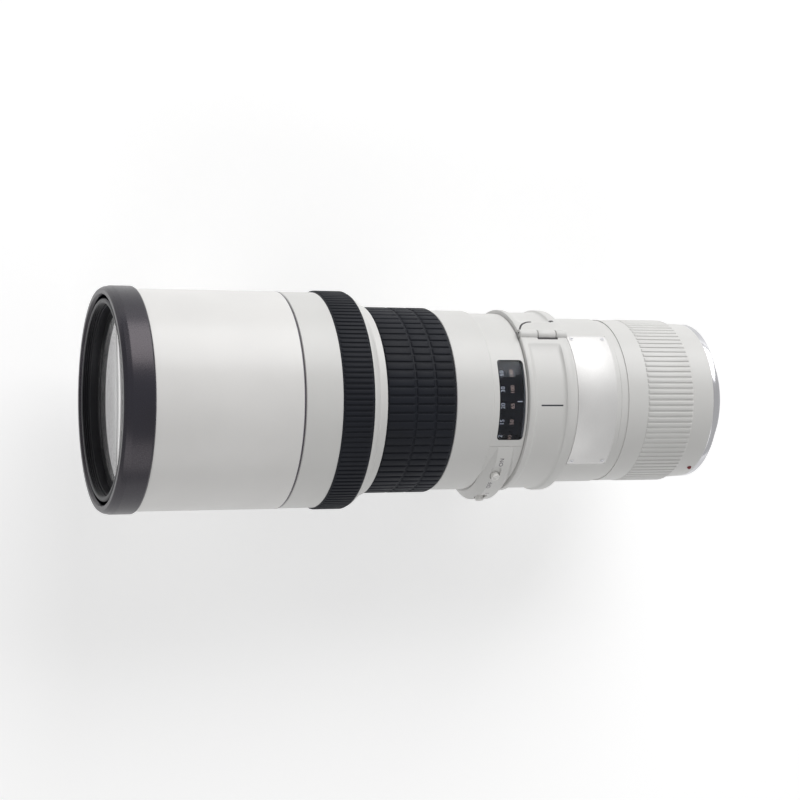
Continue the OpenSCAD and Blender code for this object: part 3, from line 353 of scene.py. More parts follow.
def lettering(name, marks, size, r, axis_x=0.0, height=0.02):
    """Marks (text, angle, s) in one mesh, wrapped on radius r; they read round the lens."""
    bm = bmesh.new()
    for text, middle, s in marks:
        curve = bpy.data.curves.new(name, "FONT")
        curve.body, curve.size = text, size
        curve.align_x, curve.align_y = "CENTER", "CENTER"
        curve.extrude, curve.resolution_u = height / 2, 4
        holder = bpy.data.objects.new(name, curve)
        bpy.context.scene.collection.objects.link(holder)
        mesh = bpy.data.meshes.new_from_object(holder)
        first = len(bm.verts)
        bm.from_mesh(mesh)
        bm.verts.ensure_lookup_table()
        for vert in bm.verts[first:]:
            x, y, z = vert.co
            a = middle + math.degrees(x / r)
            vert.co = polar(r + height / 2 + z, a, s + y) + Vector((axis_x * MM, 0.0, 0.0))
        bpy.data.objects.remove(holder)
        bpy.data.curves.remove(curve)
        bpy.data.meshes.remove(mesh)
    return finish_mesh(bm, name)


def swell(length, top, low=0.0, ease=0.35):
    """Rows across one ribbed band: shares that rise at both ends of length."""
    return [(0.0, low), (ease / 3, 0.6 * top), (ease, top),
            (length - ease, top), (length - ease / 3, 0.6 * top), (length, low)]


def rib_shape(top_share, round_share):
    """Places and heights over one pitch: a flat valley, rounded shoulders and a flat top."""
    half, soft = top_share / 2, round_share
    edge = [(0.0, 0.0), (0.12, 0.15), (0.35, 0.62), (0.65, 0.90), (1.0, 1.0)]
    up = [(0.5 - half - soft + soft * x, y) for x, y in edge]
    down = [(1.0 - place, share) for place, share in reversed(up)]
    return up + down


# Materials

def principled(name, color, roughness, metallic=0.0, **sockets):
    """A material with one Principled shader; constant values go on its own sockets."""
    mat = bpy.data.materials.new(name)
    mat.use_nodes = True
    shader = mat.node_tree.nodes["Principled BSDF"]
    shader.inputs["Base Color"].default_value = (*color, 1.0)
    shader.inputs["Roughness"].default_value = roughness
    shader.inputs["Metallic"].default_value = metallic
    for key, value in sockets.items():
        shader.inputs[key.replace("_", " ")].default_value = value
    return mat


def add_node(mat, kind, **values):
    """A new node whose inputs or settings take the given values."""
    node = mat.node_tree.nodes.new(kind)
    for key, value in values.items():
        if hasattr(node, key):
            setattr(node, key, value)
        else:
            node.inputs[key.replace("_", " ")].default_value = value
    return node


def wire(mat, source, output, target, socket):
    """Links an output of one node to an input of another."""
    mat.node_tree.links.new(source.outputs[output], target.inputs[socket])


def place_of(mat, stretch=(1.0, 1.0, 1.0)):
    """Object coordinates in metres, stretched along the axes."""
    coords = add_node(mat, "ShaderNodeTexCoord")
    mapping = add_node(mat, "ShaderNodeMapping")
    mapping.inputs["Scale"].default_value = stretch
    wire(mat, coords, "Object", mapping, "Vector")
    return mapping


def noise(mat, scale, detail=3.0, stretch=(1.0, 1.0, 1.0)):
    """Noise that stays with the piece."""
    source = add_node(mat, "ShaderNodeTexNoise", Scale=scale, Detail=detail)
    wire(mat, place_of(mat, stretch), "Vector", source, "Vector")
    return source


def tint(mat, source, output, low, high, start=0.35, end=0.65):
    """Base colour that runs from low to high as the source's output does."""
    ramp = add_node(mat, "ShaderNodeValToRGB")
    ramp.color_ramp.elements[0].position = start
    ramp.color_ramp.elements[0].color = (*low, 1.0)
    ramp.color_ramp.elements[1].position = end
    ramp.color_ramp.elements[1].color = (*high, 1.0)
    wire(mat, source, output, ramp, "Fac")
    wire(mat, ramp, "Color", mat.node_tree.nodes["Principled BSDF"], "Base Color")
    return ramp


def gloss(mat, source, output, low, high, start=0.3, end=0.7):
    """Roughness that runs from low to high as the source's output does."""
    span = add_node(mat, "ShaderNodeMapRange", From_Min=start, From_Max=end, To_Min=low,
                    To_Max=high)
    wire(mat, source, output, span, "Value")
    wire(mat, span, "Result", mat.node_tree.nodes["Principled BSDF"], "Roughness")


def relief(mat, source, output, depth, strength=1.0):
    """Fine bumps of about the given depth, mm."""
    bump = add_node(mat, "ShaderNodeBump", Strength=strength, Distance=depth * MM)
    wire(mat, source, output, bump, "Height")
    wire(mat, bump, "Normal", mat.node_tree.nodes["Principled BSDF"], "Normal")


def shade(color, factor):
    """A colour made brighter or darker."""
    return tuple(min(1.0, c * factor) for c in color)


def coated(name, color, roughness, grain, depth, metallic=0.0, vary=0.04, spread=0.05,
           stretch=(1.0, 1.0, 1.0), **sockets):
    """A finish with a slow drift of colour and gloss and a fine grain in its surface."""
    mat = principled(name, color, roughness, metallic, **sockets)
    drift = noise(mat, DRIFT_SCALE, detail=2.0)
    tint(mat, drift, "Fac", shade(color, 1.0 - vary), shade(color, 1.0 + vary))
    fine = noise(mat, grain, stretch=stretch)
    gloss(mat, fine, "Fac", roughness - spread, roughness + spread)
    relief(mat, fine, "Fac", depth)
    return mat


def line_inside(mat, radius):
    """Makes a material matt black nearer to the optical axis than radius, mm.

    The mix node has sockets of one name for each kind of data: 6, 7 and output 2 are colours.
    """
    shader = mat.node_tree.nodes["Principled BSDF"]
    around = add_node(mat, "ShaderNodeVectorMath", operation="LENGTH")
    inside = add_node(mat, "ShaderNodeMath", operation="LESS_THAN")
    inside.inputs[1].default_value = radius * MM
    mix = add_node(mat, "ShaderNodeMix", data_type="RGBA")
    mix.inputs[7].default_value = (*LINING, 1.0)
    links = mat.node_tree.links
    links.new(shader.inputs["Base Color"].links[0].from_socket, mix.inputs[6])
    links.new(place_of(mat, (1.0, 0.0, 1.0)).outputs["Vector"], around.inputs[0])
    links.new(around.outputs["Value"], inside.inputs[0])
    links.new(inside.outputs[0], mix.inputs[0])
    links.new(mix.outputs[2], shader.inputs["Base Color"])


def make_materials():
    """One material for each slot of the record."""
    mats = {
        "white_paint": coated("white_paint", (0.69, 0.685, 0.67), 0.38, 2600.0, 0.012,
                              vary=0.015),
        "black_paint": coated("black_paint", (0.012, 0.012, 0.014), 0.55, 2400.0, 0.01,
                              Specular_IOR_Level=0.2),
        "black_aluminium": coated("black_aluminium", (0.020, 0.020, 0.024), 0.42, 3200.0,
                                  0.006, metallic=0.3),
        "aluminium": coated("aluminium", (0.60, 0.60, 0.62), 0.35, 900.0, 0.004,
                            metallic=1.0, stretch=(1.0, 6.0, 1.0)),
        "rubber": coated("rubber", (0.0055, 0.0068, 0.0115), 0.60, 3000.0, 0.02, vary=0.15,
                         Specular_IOR_Level=0.22),
        "steel": coated("steel", (0.62, 0.62, 0.64), 0.28, 2500.0, 0.003, metallic=1.0),
        "chrome": coated("chrome", (0.55, 0.55, 0.57), 0.18, 1800.0, 0.002, metallic=1.0,
                         spread=0.04, stretch=(1.0, 8.0, 1.0)),
        "brass": coated("brass", (0.80, 0.62, 0.30), 0.25, 2000.0, 0.003, metallic=1.0),
        "plate": coated("plate", (0.62, 0.615, 0.61), 0.62, 700.0, 0.003, metallic=1.0,
                        stretch=(1.0, 12.0, 1.0)),
        "black_plastic": coated("black_plastic", (0.018, 0.018, 0.021), 0.45, 2200.0, 0.015),
        "white_plastic": coated("white_plastic", (0.84, 0.83, 0.81), 0.25, 2200.0, 0.004,
                                vary=0.01),
        "felt": coated("felt", (0.012, 0.012, 0.014), 0.95, 5000.0, 0.08, vary=0.3),
        "board": coated("board", (0.05, 0.25, 0.12), 0.40, 800.0, 0.02),
        "red": coated("red", (0.20, 0.010, 0.016), 0.30, 1500.0, 0.004),
        "glass": principled("glass", (1.0, 1.0, 1.0), 0.0, IOR=1.62,
                            Transmission_Weight=1.0,
                            Specular_Tint=(0.12, 0.09, 0.16, 1.0)),
        "window": principled("window", (0.80, 0.84, 0.92), 0.02, IOR=1.22,
                             Transmission_Weight=1.0),
    }
    mats["front_glass"] = principled("front_glass", (1.0, 1.0, 1.0), 0.0, IOR=1.62,
                                     Transmission_Weight=1.0,
                                     Specular_Tint=(0.30, 0.26, 0.30, 1.0))
    # The hood's white is a brighter copy of the barrel's white paint: painted light on the hood,
    # as both are one paint
    mats["hood_paint_lit"] = coated("hood_paint_lit", (0.80, 0.79, 0.775), 0.34, 2600.0, 0.012,
                                vary=0.015)
    mats["rim_rubber"] = coated("rim_rubber", (0.008, 0.0095, 0.016), 0.29, 2800.0, 0.012,
                                vary=0.12, Specular_IOR_Level=0.50,
                                Specular_Tint=(1.0, 0.90, 0.95, 1.0))
    mats["drum_black"] = coated("drum_black", (0.004, 0.004, 0.006), 0.60, 2200.0, 0.006,
                                Specular_IOR_Level=0.15)
    mats["ink"] = coated("ink", (0.02, 0.02, 0.03), 0.55, 2500.0, 0.004)
    # Grey ink for the switch marks; the same colour is painted shade on the hood's rear edge
    mats["grey_ink_and_shade"] = coated("grey_ink_and_shade", (0.09, 0.075, 0.10), 0.55, 2500.0, 0.004)
    # Painted shade: the dark colour of the lines, rings and dot put where gaps and a hole lie in
    # shade
    mats["seam"] = coated("seam", (0.045, 0.040, 0.045), 0.70, 2500.0, 0.006)
    mats["white_ink"] = coated("white_ink", (0.62, 0.62, 0.64), 0.45, 2500.0, 0.004)
    mats["amber_ink"] = coated("amber_ink", (0.55, 0.38, 0.30), 0.45, 2500.0, 0.004)
    return mats


MATS = make_materials()


def dress(piece, body, slot, nodes=(), material=None):
    """Gives a finished piece its material, the given one or else the slot's, puts it on its body
    and hides the nodes that it stands for.
    """
    piece.data.materials.clear()
    piece.data.materials.append(MATS[material or slot])
    if nodes:
        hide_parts(*nodes)
    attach(piece, body)
    return piece


def dress_cad_nodes():
    """Procedural materials for the CAD nodes that stay as they are."""
    slots = {part["node"]: part["material_slot"] for part in frame["record"]["subparts"]}
    for name, piece in NODES.items():
        for holder in piece.material_slots:
            holder.material = MATS[slots[name]]
    for name, radius in LINED_NODES.items():
        lined = MATS[slots[name]].copy()
        lined.name = "lined_" + name
        line_inside(lined, radius)
        for holder in NODES[name].material_slots:
            holder.material = lined
    for name, width in SOFT_EDGES.items():
        soften(NODES[name], width)


def soften(piece, width, sharp=38.0):
    """Eases the edges of a CAD node with modifiers; its own mesh is left as it is."""
    weld = piece.modifiers.new("weld", "WELD")
    weld.merge_threshold = WELD_REACH
    bevel = piece.modifiers.new("ease", "BEVEL")
    bevel.width, bevel.segments = width * MM, 3
    bevel.limit_method, bevel.angle_limit = "ANGLE", math.radians(sharp)
    bevel.use_clamp_overlap, bevel.harden_normals = True, False


# Hood and front

def make_hood():
    """The white tube of the hood and the rounded rubber rim at its front."""
    s0, s1 = rear_s("hood_tube"), front_s("hood_tube")
    r = outer_r("hood_tube")
    wall, lip_r, lip_t = 1.6, 41.2, 0.8
    tube = lathe("hood_tube_fine", rounded([
        (s0, lip_r, 0.2), (s0, r, 0.45), (s1 - 0.25, r, 0.15), (s1, r - 0.3, 0.0),
        (s1, r - wall, 0.0), (s0 + lip_t, r - wall, 0.0), (s0 + lip_t, lip_r, 0.2)]))
    # The hood's tube takes the brighter copy of the white paint, which is painted light
    dress(tube, "hood", "white_paint", ["hood_tube"], "hood_paint_lit")

    front, rim_r = front_s("hood_rim"), outer_r("hood_rim")
    spigot, bore, tube_in = 3.0, 41.2, 42.35
    rim = lathe("hood_rim_fine", rounded([
        (s1 - spigot, bore, 0.2), (s1 - spigot, tube_in, 0.1), (s1 + 0.02, tube_in, 0.0),
        (s1 + 0.02, rim_r - 0.45, 0.2), (s1 + 0.6, rim_r, 0.5), (front - 3.4, rim_r, 3.0),
        (front - 1.3, rim_r - 0.45, 1.6), (front, rim_r - 1.3, 0.6), (front, bore + 0.6, 0.5),
        (front - 1.2, bore, 0.6)]))
    dress(rim, "hood", "rubber", ["hood_rim"], "rim_rubber")


def thread_outline(s0, s1, r, pitch=0.75, depth=0.35):
    """Grooves of a fine inside thread from s0 to s1, cut outward from radius r."""
    turns = int((s1 - s0) / pitch)
    points = []
    for i in range(turns):
        base = s1 - i * pitch
        points += [(base, r), (base - 0.12 * pitch, r), (base - 0.5 * pitch, r + depth),
                   (base - 0.88 * pitch, r)]
    points.append((s1 - turns * pitch, r))
    return points


def make_front_group():
    """The filter ring with its thread, and the ring that holds the front glass."""
    s0, s1 = rear_s("filter_ring"), front_s("filter_ring")
    step, flange_r, tube_r, seat_r = 243.5, 40.0, 38.9, 36.55
    bore, thread_s, lip, lip_t = 38.1, 252.7, 35.0, 2.0
    retainer_r = 37.45
    outline = rounded([
        (s0, lip, 0.2), (s0, tube_r, 0.2), (step, tube_r, 0.0), (step, flange_r, 0.2),
        (s1 - 0.6, flange_r, 0.35), (s1, flange_r - 0.6, 0.25), (s1, bore + 0.45, 0.2),
        (s1 - 0.35, bore, 0.05)], closed=False)
    outline += [Vector(p) for p in thread_outline(thread_s + 0.1, s1 - 0.35, bore)[1:]]
    outline += rounded([
        (thread_s, bore, 0.0), (thread_s, retainer_r, 0.15), (GLASS_SEAT, retainer_r, 0.0),
        (GLASS_SEAT, seat_r, 0.0), (s0 + lip_t, seat_r, 0.0), (s0 + lip_t, lip, 0.2)],
        closed=False)
    ring = lathe("filter_ring_fine", outline, angle=30.0)
    dress(ring, "barrel", "black_aluminium", ["filter_ring"])

    r0, r1 = 35.9, 37.4
    base, top = rear_s("front_retainer"), front_s("front_retainer")
    retaining = lathe("front_retainer_fine", rounded([
        (base, r0, 0.0), (base, r1, 0.0), (top - 0.25, r1, 0.1), (top, r1 - 0.25, 0.1),
        (top, 36.9, 0.1), (top - 0.35, 36.8, 0.1), (top - 0.35, 36.65, 0.1), (top, 36.5, 0.1)]))
    dress(retaining, "barrel", "black_aluminium", ["front_retainer"])


def bulge(x, radius):
    """Depth of a curve of the given radius at x from the axis; negative for a hollow."""
    return math.copysign(abs(radius) - math.sqrt(radius * radius - x * x), radius)


def glass_outline(s0, s1, front_radius, rear_radius, steps=20, edge=0.15):
    """Half section of a glass between the seats s0 and s1, from the axis out and back."""
    r = GLASS_R
    clear = r - GLASS_RIM
    front = [(s1 + bulge(clear, front_radius) - bulge(clear * i / steps, front_radius),
              clear * i / steps) for i in range(steps + 1)]
    rear = [(s0 - bulge(clear, rear_radius) + bulge(clear * i / steps, rear_radius),
             clear * i / steps) for i in range(steps, -1, -1)]
    return front + [(s1, r - edge), (s1 - edge, r), (s0 + edge, r), (s0, r - edge)] + rear


def make_glass():
    """The three glasses of the front group, from the front one back."""
    thick, front_radius, rear_radius = FRONT_GLASS
    s0 = GLASS_SEAT - thick
    curved = GLASS_R - GLASS_RIM + 0.01
    dome = glass_outline(s0, GLASS_SEAT + GLASS_BOSS, front_radius, rear_radius)
    outline = [(s, r) if r < curved or s < GLASS_SEAT else (s - GLASS_BOSS, r) for s, r in dome]
    one = lathe("front_glass", outline, closed=False)
    dress(one, "barrel", "glass", ["element_1"], "front_glass")

    thick, front_radius, rear_radius = SECOND_GLASS
    s1 = s0 - GAP_BEHIND_FRONT
    s0 = s1 - thick
    two = lathe("second_glass", glass_outline(s0, s1, front_radius, rear_radius), closed=False)
    dress(two, "barrel", "glass", ["element_2"])

    thick, front_radius, rear_radius = THIRD_GLASS
    s1 = s0 - GAP_BEHIND_SECOND
    s0 = s1 - thick
    three = lathe("third_glass", glass_outline(s0, s1, front_radius, rear_radius), closed=False)
    dress(three, "barrel", "glass", ["element_3"])


def make_ridged_ring():
    """The black ring with rounded ribs between the hood's band and the shoulder."""
    s0, s1 = rear_s("ridged_ring"), front_s("ridged_ring")
    top, inner, height, ribs = 44.5, 42.35, 0.45, 132
    low = top - height
    rows = [(s0, inner, 0), (s0, low - 0.25, 0), (s0 + 0.1, low - 0.08, 0), (s0 + 0.3, low, 0),
            (s0 + 0.6, low, 0)]
    for s, share in swell(s1 - s0 - 1.2, 1.0, ease=0.5):
        rows.append((s0 + 0.6 + s, low, height * share))
    rows += [(s1 - 0.6, low, 0), (s1 - 0.3, low, 0), (s1 - 0.1, low - 0.08, 0),
             (s1, low - 0.25, 0), (s1, inner, 0)]
    ring = ribbed("ridged_ring_fine", rows, ribs, rib_shape(0.42, 0.16), angle=50.0)
    dress(ring, "barrel", "rubber", ["ridged_ring"])


def make_shoulder():
    """The white cone between the ridged ring and the focus grip."""
    s0, s1 = rear_s("shoulder_ring"), front_s("shoulder_ring")
    inner, low, high, web = 29.45, 38.5, 43.8, 2.0
    outline = rounded([
        (s0, inner, 0.0), (s0, low + 0.7, 0.3), (s0 + 3.1, low + 0.9, 1.2),
        (s1 - 2.6, high - 1.9, 1.6), (s1 - 0.5, high - 0.1, 0.8), (s1, high - 0.1, 0.05),
        (s1, low - 0.3, 0.0), (s0 + web, low - 0.3, 0.0), (s0 + web, inner, 0.0)])
    ring = lathe("shoulder_fine", outline, angle=30.0)
    dress(ring, "barrel", "white_paint", ["shoulder_ring"])


def make_focus_grip():
    """The focus rubber, ribbed in three bands with grooves between them."""
    s0, s1 = rear_s("focus_grip"), front_s("focus_grip")
    top, inner, height, ribs = 38.2, 36.75, 0.5, 70
    base = top - height
    length = s1 - s0
    groove, front_edge = 0.7, 0.35
    ends = [0.0, 0.303, 0.587, 1.0]
    rows = [(s0, inner, 0), (s0, base - 0.5, 0), (s0 + 0.15, base - 0.15, 0), (s0 + 0.5, base, 0)]
    for i in range(3):
        a = s0 + ends[i] * length + (groove if i == 0 else groove / 2)
        b = s0 + ends[i + 1] * length - (front_edge if i == 2 else groove / 2)
        rows += [(a + s, base, height * share) for s, share in swell(b - a, 1.0, ease=0.6)]
    rows += [(s1 - 0.2, base, 0), (s1, base - 0.2, 0), (s1, inner, 0)]
    grip = ribbed("focus_rubber", rows, ribs, rib_shape(0.62, 0.11), angle=50.0)
    dress(grip, "focus_ring", "rubber", ["focus_grip"])


def make_centre_barrel():
    """The white barrel behind the focus rubber, with eased ends."""
    s0, s1 = rear_s("centre_barrel"), front_s("centre_barrel")
    r, inner = outer_r("centre_barrel"), 35.8
    ring = lathe("centre_barrel_fine", rounded([
        (s0, inner, 0.0), (s0, r, 0.5), (s1, r, 0.4), (s1, inner, 0.0)]))
    dress(ring, "barrel", "white_paint", ["centre_barrel"])


def make_rear_ribs():
    """The white ring with low ribs in front of the mount."""
    s0, s1 = rear_s("rear_rib_ring"), front_s("rear_rib_ring")
    top, inner, height, ribs = 34.6, 33.15, 0.42, 92
    low = top - height
    rows = [(s0, inner, 0), (s0, low - 0.1, 0), (s0 + 0.15, low, 0)]
    rows += [(s0 + 0.3 + s, low, height * share)
             for s, share in swell(s1 - s0 - 0.6, 1.0, ease=0.5)]
    rows += [(s1 - 0.15, low, 0), (s1, low - 0.1, 0), (s1, inner, 0)]
    ring = ribbed("rear_ribs_fine", rows, ribs, rib_shape(0.44, 0.14), angle=50.0)
    dress(ring, "barrel", "white_paint", ["rear_rib_ring"])


# Window, dial and switches

def make_window():
    """The window's pane, and the numbered drum that turns behind it."""
    middle, half_angle, corner, snug = 90.0, 26.5, 1.5, 0.05
    s0, s1 = rear_s("distance_window"), front_s("distance_window")
    top, bottom, edge = 35.95, 35.25, 0.1
    half = math.radians(half_angle) * top - snug
    layers = plate_layers(top, top - bottom, edge)
    pane = patch("window_pane", middle, half, s0, s1, corner, layers)
    dress(pane, "barrel", "window", ["distance_window"])

    s0, s1, r = rear_s("scale_drum"), front_s("scale_drum"), outer_r("scale_drum")
    for holder in NODES["scale_drum"].material_slots:
        holder.material = MATS["drum_black"]
    low, high = s0 + FOOT_SHARE * (s1 - s0), s0 + METRE_SHARE * (s1 - s0)
    dress(dial_row("metre_numbers", METRES, METRE_SIZE, high, r), "focus_drive",
          "white_plastic", material="white_ink")
    dress(dial_row("foot_numbers", FEET, FOOT_SIZE, low, r), "focus_drive", "white_plastic",
          material="amber_ink")


def dial_row(name, numbers, size, s, r):
    """One row of numbers round the drum."""
    marks = [(text, FIRST_NUMBER_ANGLE - NUMBER_STEP * k, s) for k, text in enumerate(numbers)]
    return lettering(name, marks, size, r)


def button(name, angle, s):
    """Round button on the hump at the given angle, with a dished top."""
    r, top = BUTTON_R, HUMP_R + BUTTON_HEIGHT
    profile = [(0.55 * r, top - 0.36), (0.68 * r, top - 0.1), (0.76 * r, top),
               (0.88 * r, top - 0.04), (0.97 * r, top - 0.2), (r, top - 0.45),
               (r, HUMP_R - BUTTON_DEPTH)]
    a = math.radians(angle)
    out = Vector((math.cos(a), 0.0, math.sin(a)))
    side = Vector((-math.sin(a), 0.0, math.cos(a)))
    along = Vector((0.0, -1.0, 0.0))
    centre = Vector((HUMP_X * MM, -s * MM, 0.0))
    turns = [2 * math.pi * k / SMALL_TURN_STEPS for k in range(SMALL_TURN_STEPS)]
    bm = bmesh.new()
    rings = []
    for radius, height in profile:
        rings.append([bm.verts.new(centre + out * height * MM + (
            side * math.cos(turn) + along * math.sin(turn)) * radius * MM) for turn in turns])
    tip = bm.verts.new(centre + out * (top - 0.42) * MM)
    for k in range(SMALL_TURN_STEPS):
        j = (k + 1) % SMALL_TURN_STEPS
        bm.faces.new((tip, rings[0][k], rings[0][j]))
        for one, two in zip(rings, rings[1:]):
            bm.faces.new((one[k], two[k], two[j], one[j]))
    bm.faces.new(rings[-1])
    return finish_mesh(bm, name, 50.0)


def make_switches():
    """Round sliding buttons, and plain marks beside them."""
    low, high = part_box("focus_mode_knob")
    s = -0.5 * (low[1] + high[1]) / MM
    for node, angle in BUTTON_ANGLES.items():
        dress(button(node + "_fine", angle, s), node, "white_plastic", [node])
    marks = [("ON", 59.5, s - 1.2), ("OFF", 37.0, s + 0.6), ("1", 25.0, s - 1.0),
             ("2", 2.5, s - 1.0)]
    dress(lettering("switch_marks", marks, SWITCH_MARK_SIZE, HUMP_R, axis_x=HUMP_X), "barrel",
          "black_plastic", material="grey_ink_and_shade")


# Tripod collar

def loft(bm, loops, join=False):
    """Skin over loops of points; join closes it on itself, otherwise its ends are capped."""
    rings = [[bm.verts.new(p) for p in loop] for loop in loops]
    pairs = list(zip(rings, rings[1:])) + ([(rings[-1], rings[0])] if join else [])
    for one, two in pairs:
        for k in range(len(one)):
            j = (k + 1) % len(one)
            bm.faces.new((one[k], one[j], two[j], two[k]))
    if not join:
        bm.faces.new(rings[0])
        bm.faces.new(list(reversed(rings[-1])))


def round_rect(width, length, corner, steps=CORNER_STEPS):
    """Corner-rounded rectangle about the origin, as (x, y) points."""
    points = []
    for turn, (sx, sy) in enumerate(((1, 1), (-1, 1), (-1, -1), (1, -1))):
        for k in range(steps + 1):
            a = math.radians(90.0 * (turn + k / steps))
            points.append((sx * (width / 2 - corner) + corner * math.cos(a),
                           sy * (length / 2 - corner) + corner * math.sin(a)))
    return points


def circle_facing(points, radius):
    """Circle about the origin with a point toward each of the given ones."""
    return [(radius * x / math.hypot(x, y), radius * y / math.hypot(x, y)) for x, y in points]


def sink(x):
    """Depth of a hollow, from 0 at its sharp edge to 1 on its floor."""
    x = max(0.0, min(1.0, x))
    return 1.0 - (1.0 - x) ** 3


def collar_rows(s0, s1, share):
    """Section of the collar; share is how much of the recess is there.

    wall is the recess's edge, as distances from it along the axis and shares of the depth.
    """
    r, deep = COLLAR_R, RECESS * share
    near, far = s0 + REAR_LIP, s1 - FRONT_LIP
    wall = [(-0.15, 0.0), (0.0, 0.08), (0.2, 0.34), (0.5, 0.62), (0.9, 0.84), (1.4, 0.96),
            (1.9, 1.0)]
    rows = [(s0, COLLAR_IN), (s0, r - 0.5), (s0 + 0.15, r - 0.15), (s0 + 0.5, r)]
    rows += [(near + x, r - deep * y) for x, y in wall]
    rows += [(far - x, r - deep * y) for x, y in reversed(wall)]
    rows += [(s1 - 0.6, r), (s1 - 0.18, r - 0.18), (s1, r - 0.6), (s1, COLLAR_IN)]
    return rows


def collar_arc(bm, s0, s1, a0, a1, b0, b1, spans=120, fade=8):
    """Part of the collar's ring from angle a0 to a1, recessed from b0 to b1."""
    soft = RECESS_ENDS
    edges = [b0 + soft * k / fade for k in range(fade + 1)]
    edges += [b1 - soft * k / fade for k in range(fade + 1)]
    even = [a0 + (a1 - a0) * k / spans for k in range(spans + 1)]
    angles = sorted(set([a for a in even + edges if a0 <= a <= a1]))
    loops = []
    for a in angles:
        share = sink((a - b0) / soft) * sink((b1 - a) / soft)
        loops.append([polar(r, a, s) for s, r in collar_rows(s0, s1, share)])
    loft(bm, loops)


def ear(bm, s0, s1, a0, a1, spans=6):
    """Piece of ring beside the hinge, with its knuckle."""
    rows = [(s0, COLLAR_IN), (s0, COLLAR_R - 0.3), (s0 + 0.3, COLLAR_R),
            (s1 - 0.3, COLLAR_R), (s1, COLLAR_R - 0.3), (s1, COLLAR_IN)]
    loft(bm, [[polar(r, a0 + (a1 - a0) * k / spans, s) for s, r in rows]
              for k in range(spans + 1)])
    centre = polar(HINGE_R, HINGE_ANGLE, 0.0)
    section = [(s0, PIN_BORE), (s0, KNUCKLE_R - 0.35), (s0 + 0.1, KNUCKLE_R - 0.1),
               (s0 + 0.35, KNUCKLE_R), (s1 - 0.35, KNUCKLE_R), (s1 - 0.1, KNUCKLE_R - 0.1),
               (s1, KNUCKLE_R - 0.35), (s1, PIN_BORE)]
    turns = [360.0 * k / SMALL_TURN_STEPS for k in range(SMALL_TURN_STEPS)]
    loft(bm, [[centre + polar(r, a, s) for s, r in section] for a in turns], join=True)


def at_clamp(x, y, s):
    """Point beside the clamp: x outward and y round the lens from the bolt's axis, mm."""
    middle = 0.5 * (rear_s("collar_upper") + front_s("collar_upper"))
    a = math.radians(CLAMP_ANGLE)
    out = Vector((math.cos(a), 0.0, math.sin(a)))
    side = Vector((-math.sin(a), 0.0, math.cos(a)))
    return out * (CLAMP_RAD + x) * MM + side * y * MM + Vector((0.0, -(middle + s) * MM, 0.0))


def clamp_lugs(upper, lower, width):
    """Forked lug on the upper half and bored lug on the lower half."""
    back, half, ease = COLLAR_IN + 0.3 - CLAMP_RAD, width / 4, 0.35
    gap, room = LUG_GAP, BOLT_ROOM
    fork = [(back, -half), (LUG_END, -half), (LUG_END, -room), (0.0, -room)]
    fork += [(-room * math.sin(math.pi * k / 8), -room * math.cos(math.pi * k / 8))
             for k in range(1, 8)]
    fork += [(0.0, room), (LUG_END, room), (LUG_END, half), (back, half)]
    face = upper.faces.new([upper.verts.new(at_clamp(x, LUG_W, s)) for x, s in fork])
    grown = bmesh.ops.extrude_face_region(upper, geom=[face])
    shift = at_clamp(0, gap, 0) - at_clamp(0, LUG_W, 0)
    moved = [v for v in grown["geom"] if isinstance(v, bmesh.types.BMVert)]
    bmesh.ops.translate(upper, vec=shift, verts=moved)
    edges = [e for e in face.edges if e.is_valid]
    bmesh.ops.bevel(upper, geom=edges, offset=ease * MM, segments=3, affect="EDGES",
                    clamp_overlap=True)

    centre = (LUG_END + back) / 2
    outline = round_rect(LUG_END - back, width / 2, 0.6)
    small = round_rect(LUG_END - back - 2 * ease, width / 2 - 2 * ease, 0.4)
    outer = [(x + centre, s) for x, s in outline]
    inset = [(x + centre, s) for x, s in small]
    bore = circle_facing(outer, BOLT_R)
    levels = ((inset, -LUG_W), (outer, -LUG_W + ease), (outer, -gap), (bore, -gap),
              (bore, -LUG_W))
    loft(lower, [[at_clamp(x, y, s) for x, s in points] for points, y in levels], join=True)


def foot(bm, middle):
    """Neck and plate with rounded corners, and a bore for the tripod bush.

    plate and neck are width, length and corner; the levels run from the bore's blind end
    down, round the plate and up the neck.
    """
    drop, thick, ease, bush, bush_depth = 63.0, 6.0, 0.6, 5.05, 9.0
    plate, neck = (26.0, 40.0, 5.0), (18.0, 20.0, 3.0)

    def grown(size, by):
        return round_rect(size[0] + 2 * by, size[1] + 2 * by, size[2] + by)

    base = grown(plate, 0.0)
    top = thick - drop
    bore = circle_facing(base, bush)
    eased = grown(plate, -0.3 * ease)
    levels = [
        (bore, bush_depth - drop), (bore, -drop), (grown(plate, -ease), -drop),
        (eased, 0.3 * ease - drop), (base, ease - drop), (base, top - ease),
        (eased, top - 0.3 * ease), (grown(plate, -ease), top), (grown(neck, 2.0), top),
        (grown(neck, 1.0), top + 0.3), (grown(neck, 0.3), top + 1.0),
        (grown(neck, 0.0), top + 2.0), (grown(neck, 0.0), -COLLAR_IN - 0.8)]
    loft(bm, [[Vector((x * MM, (y - middle) * MM, z * MM)) for x, y in points]
              for points, z in levels])


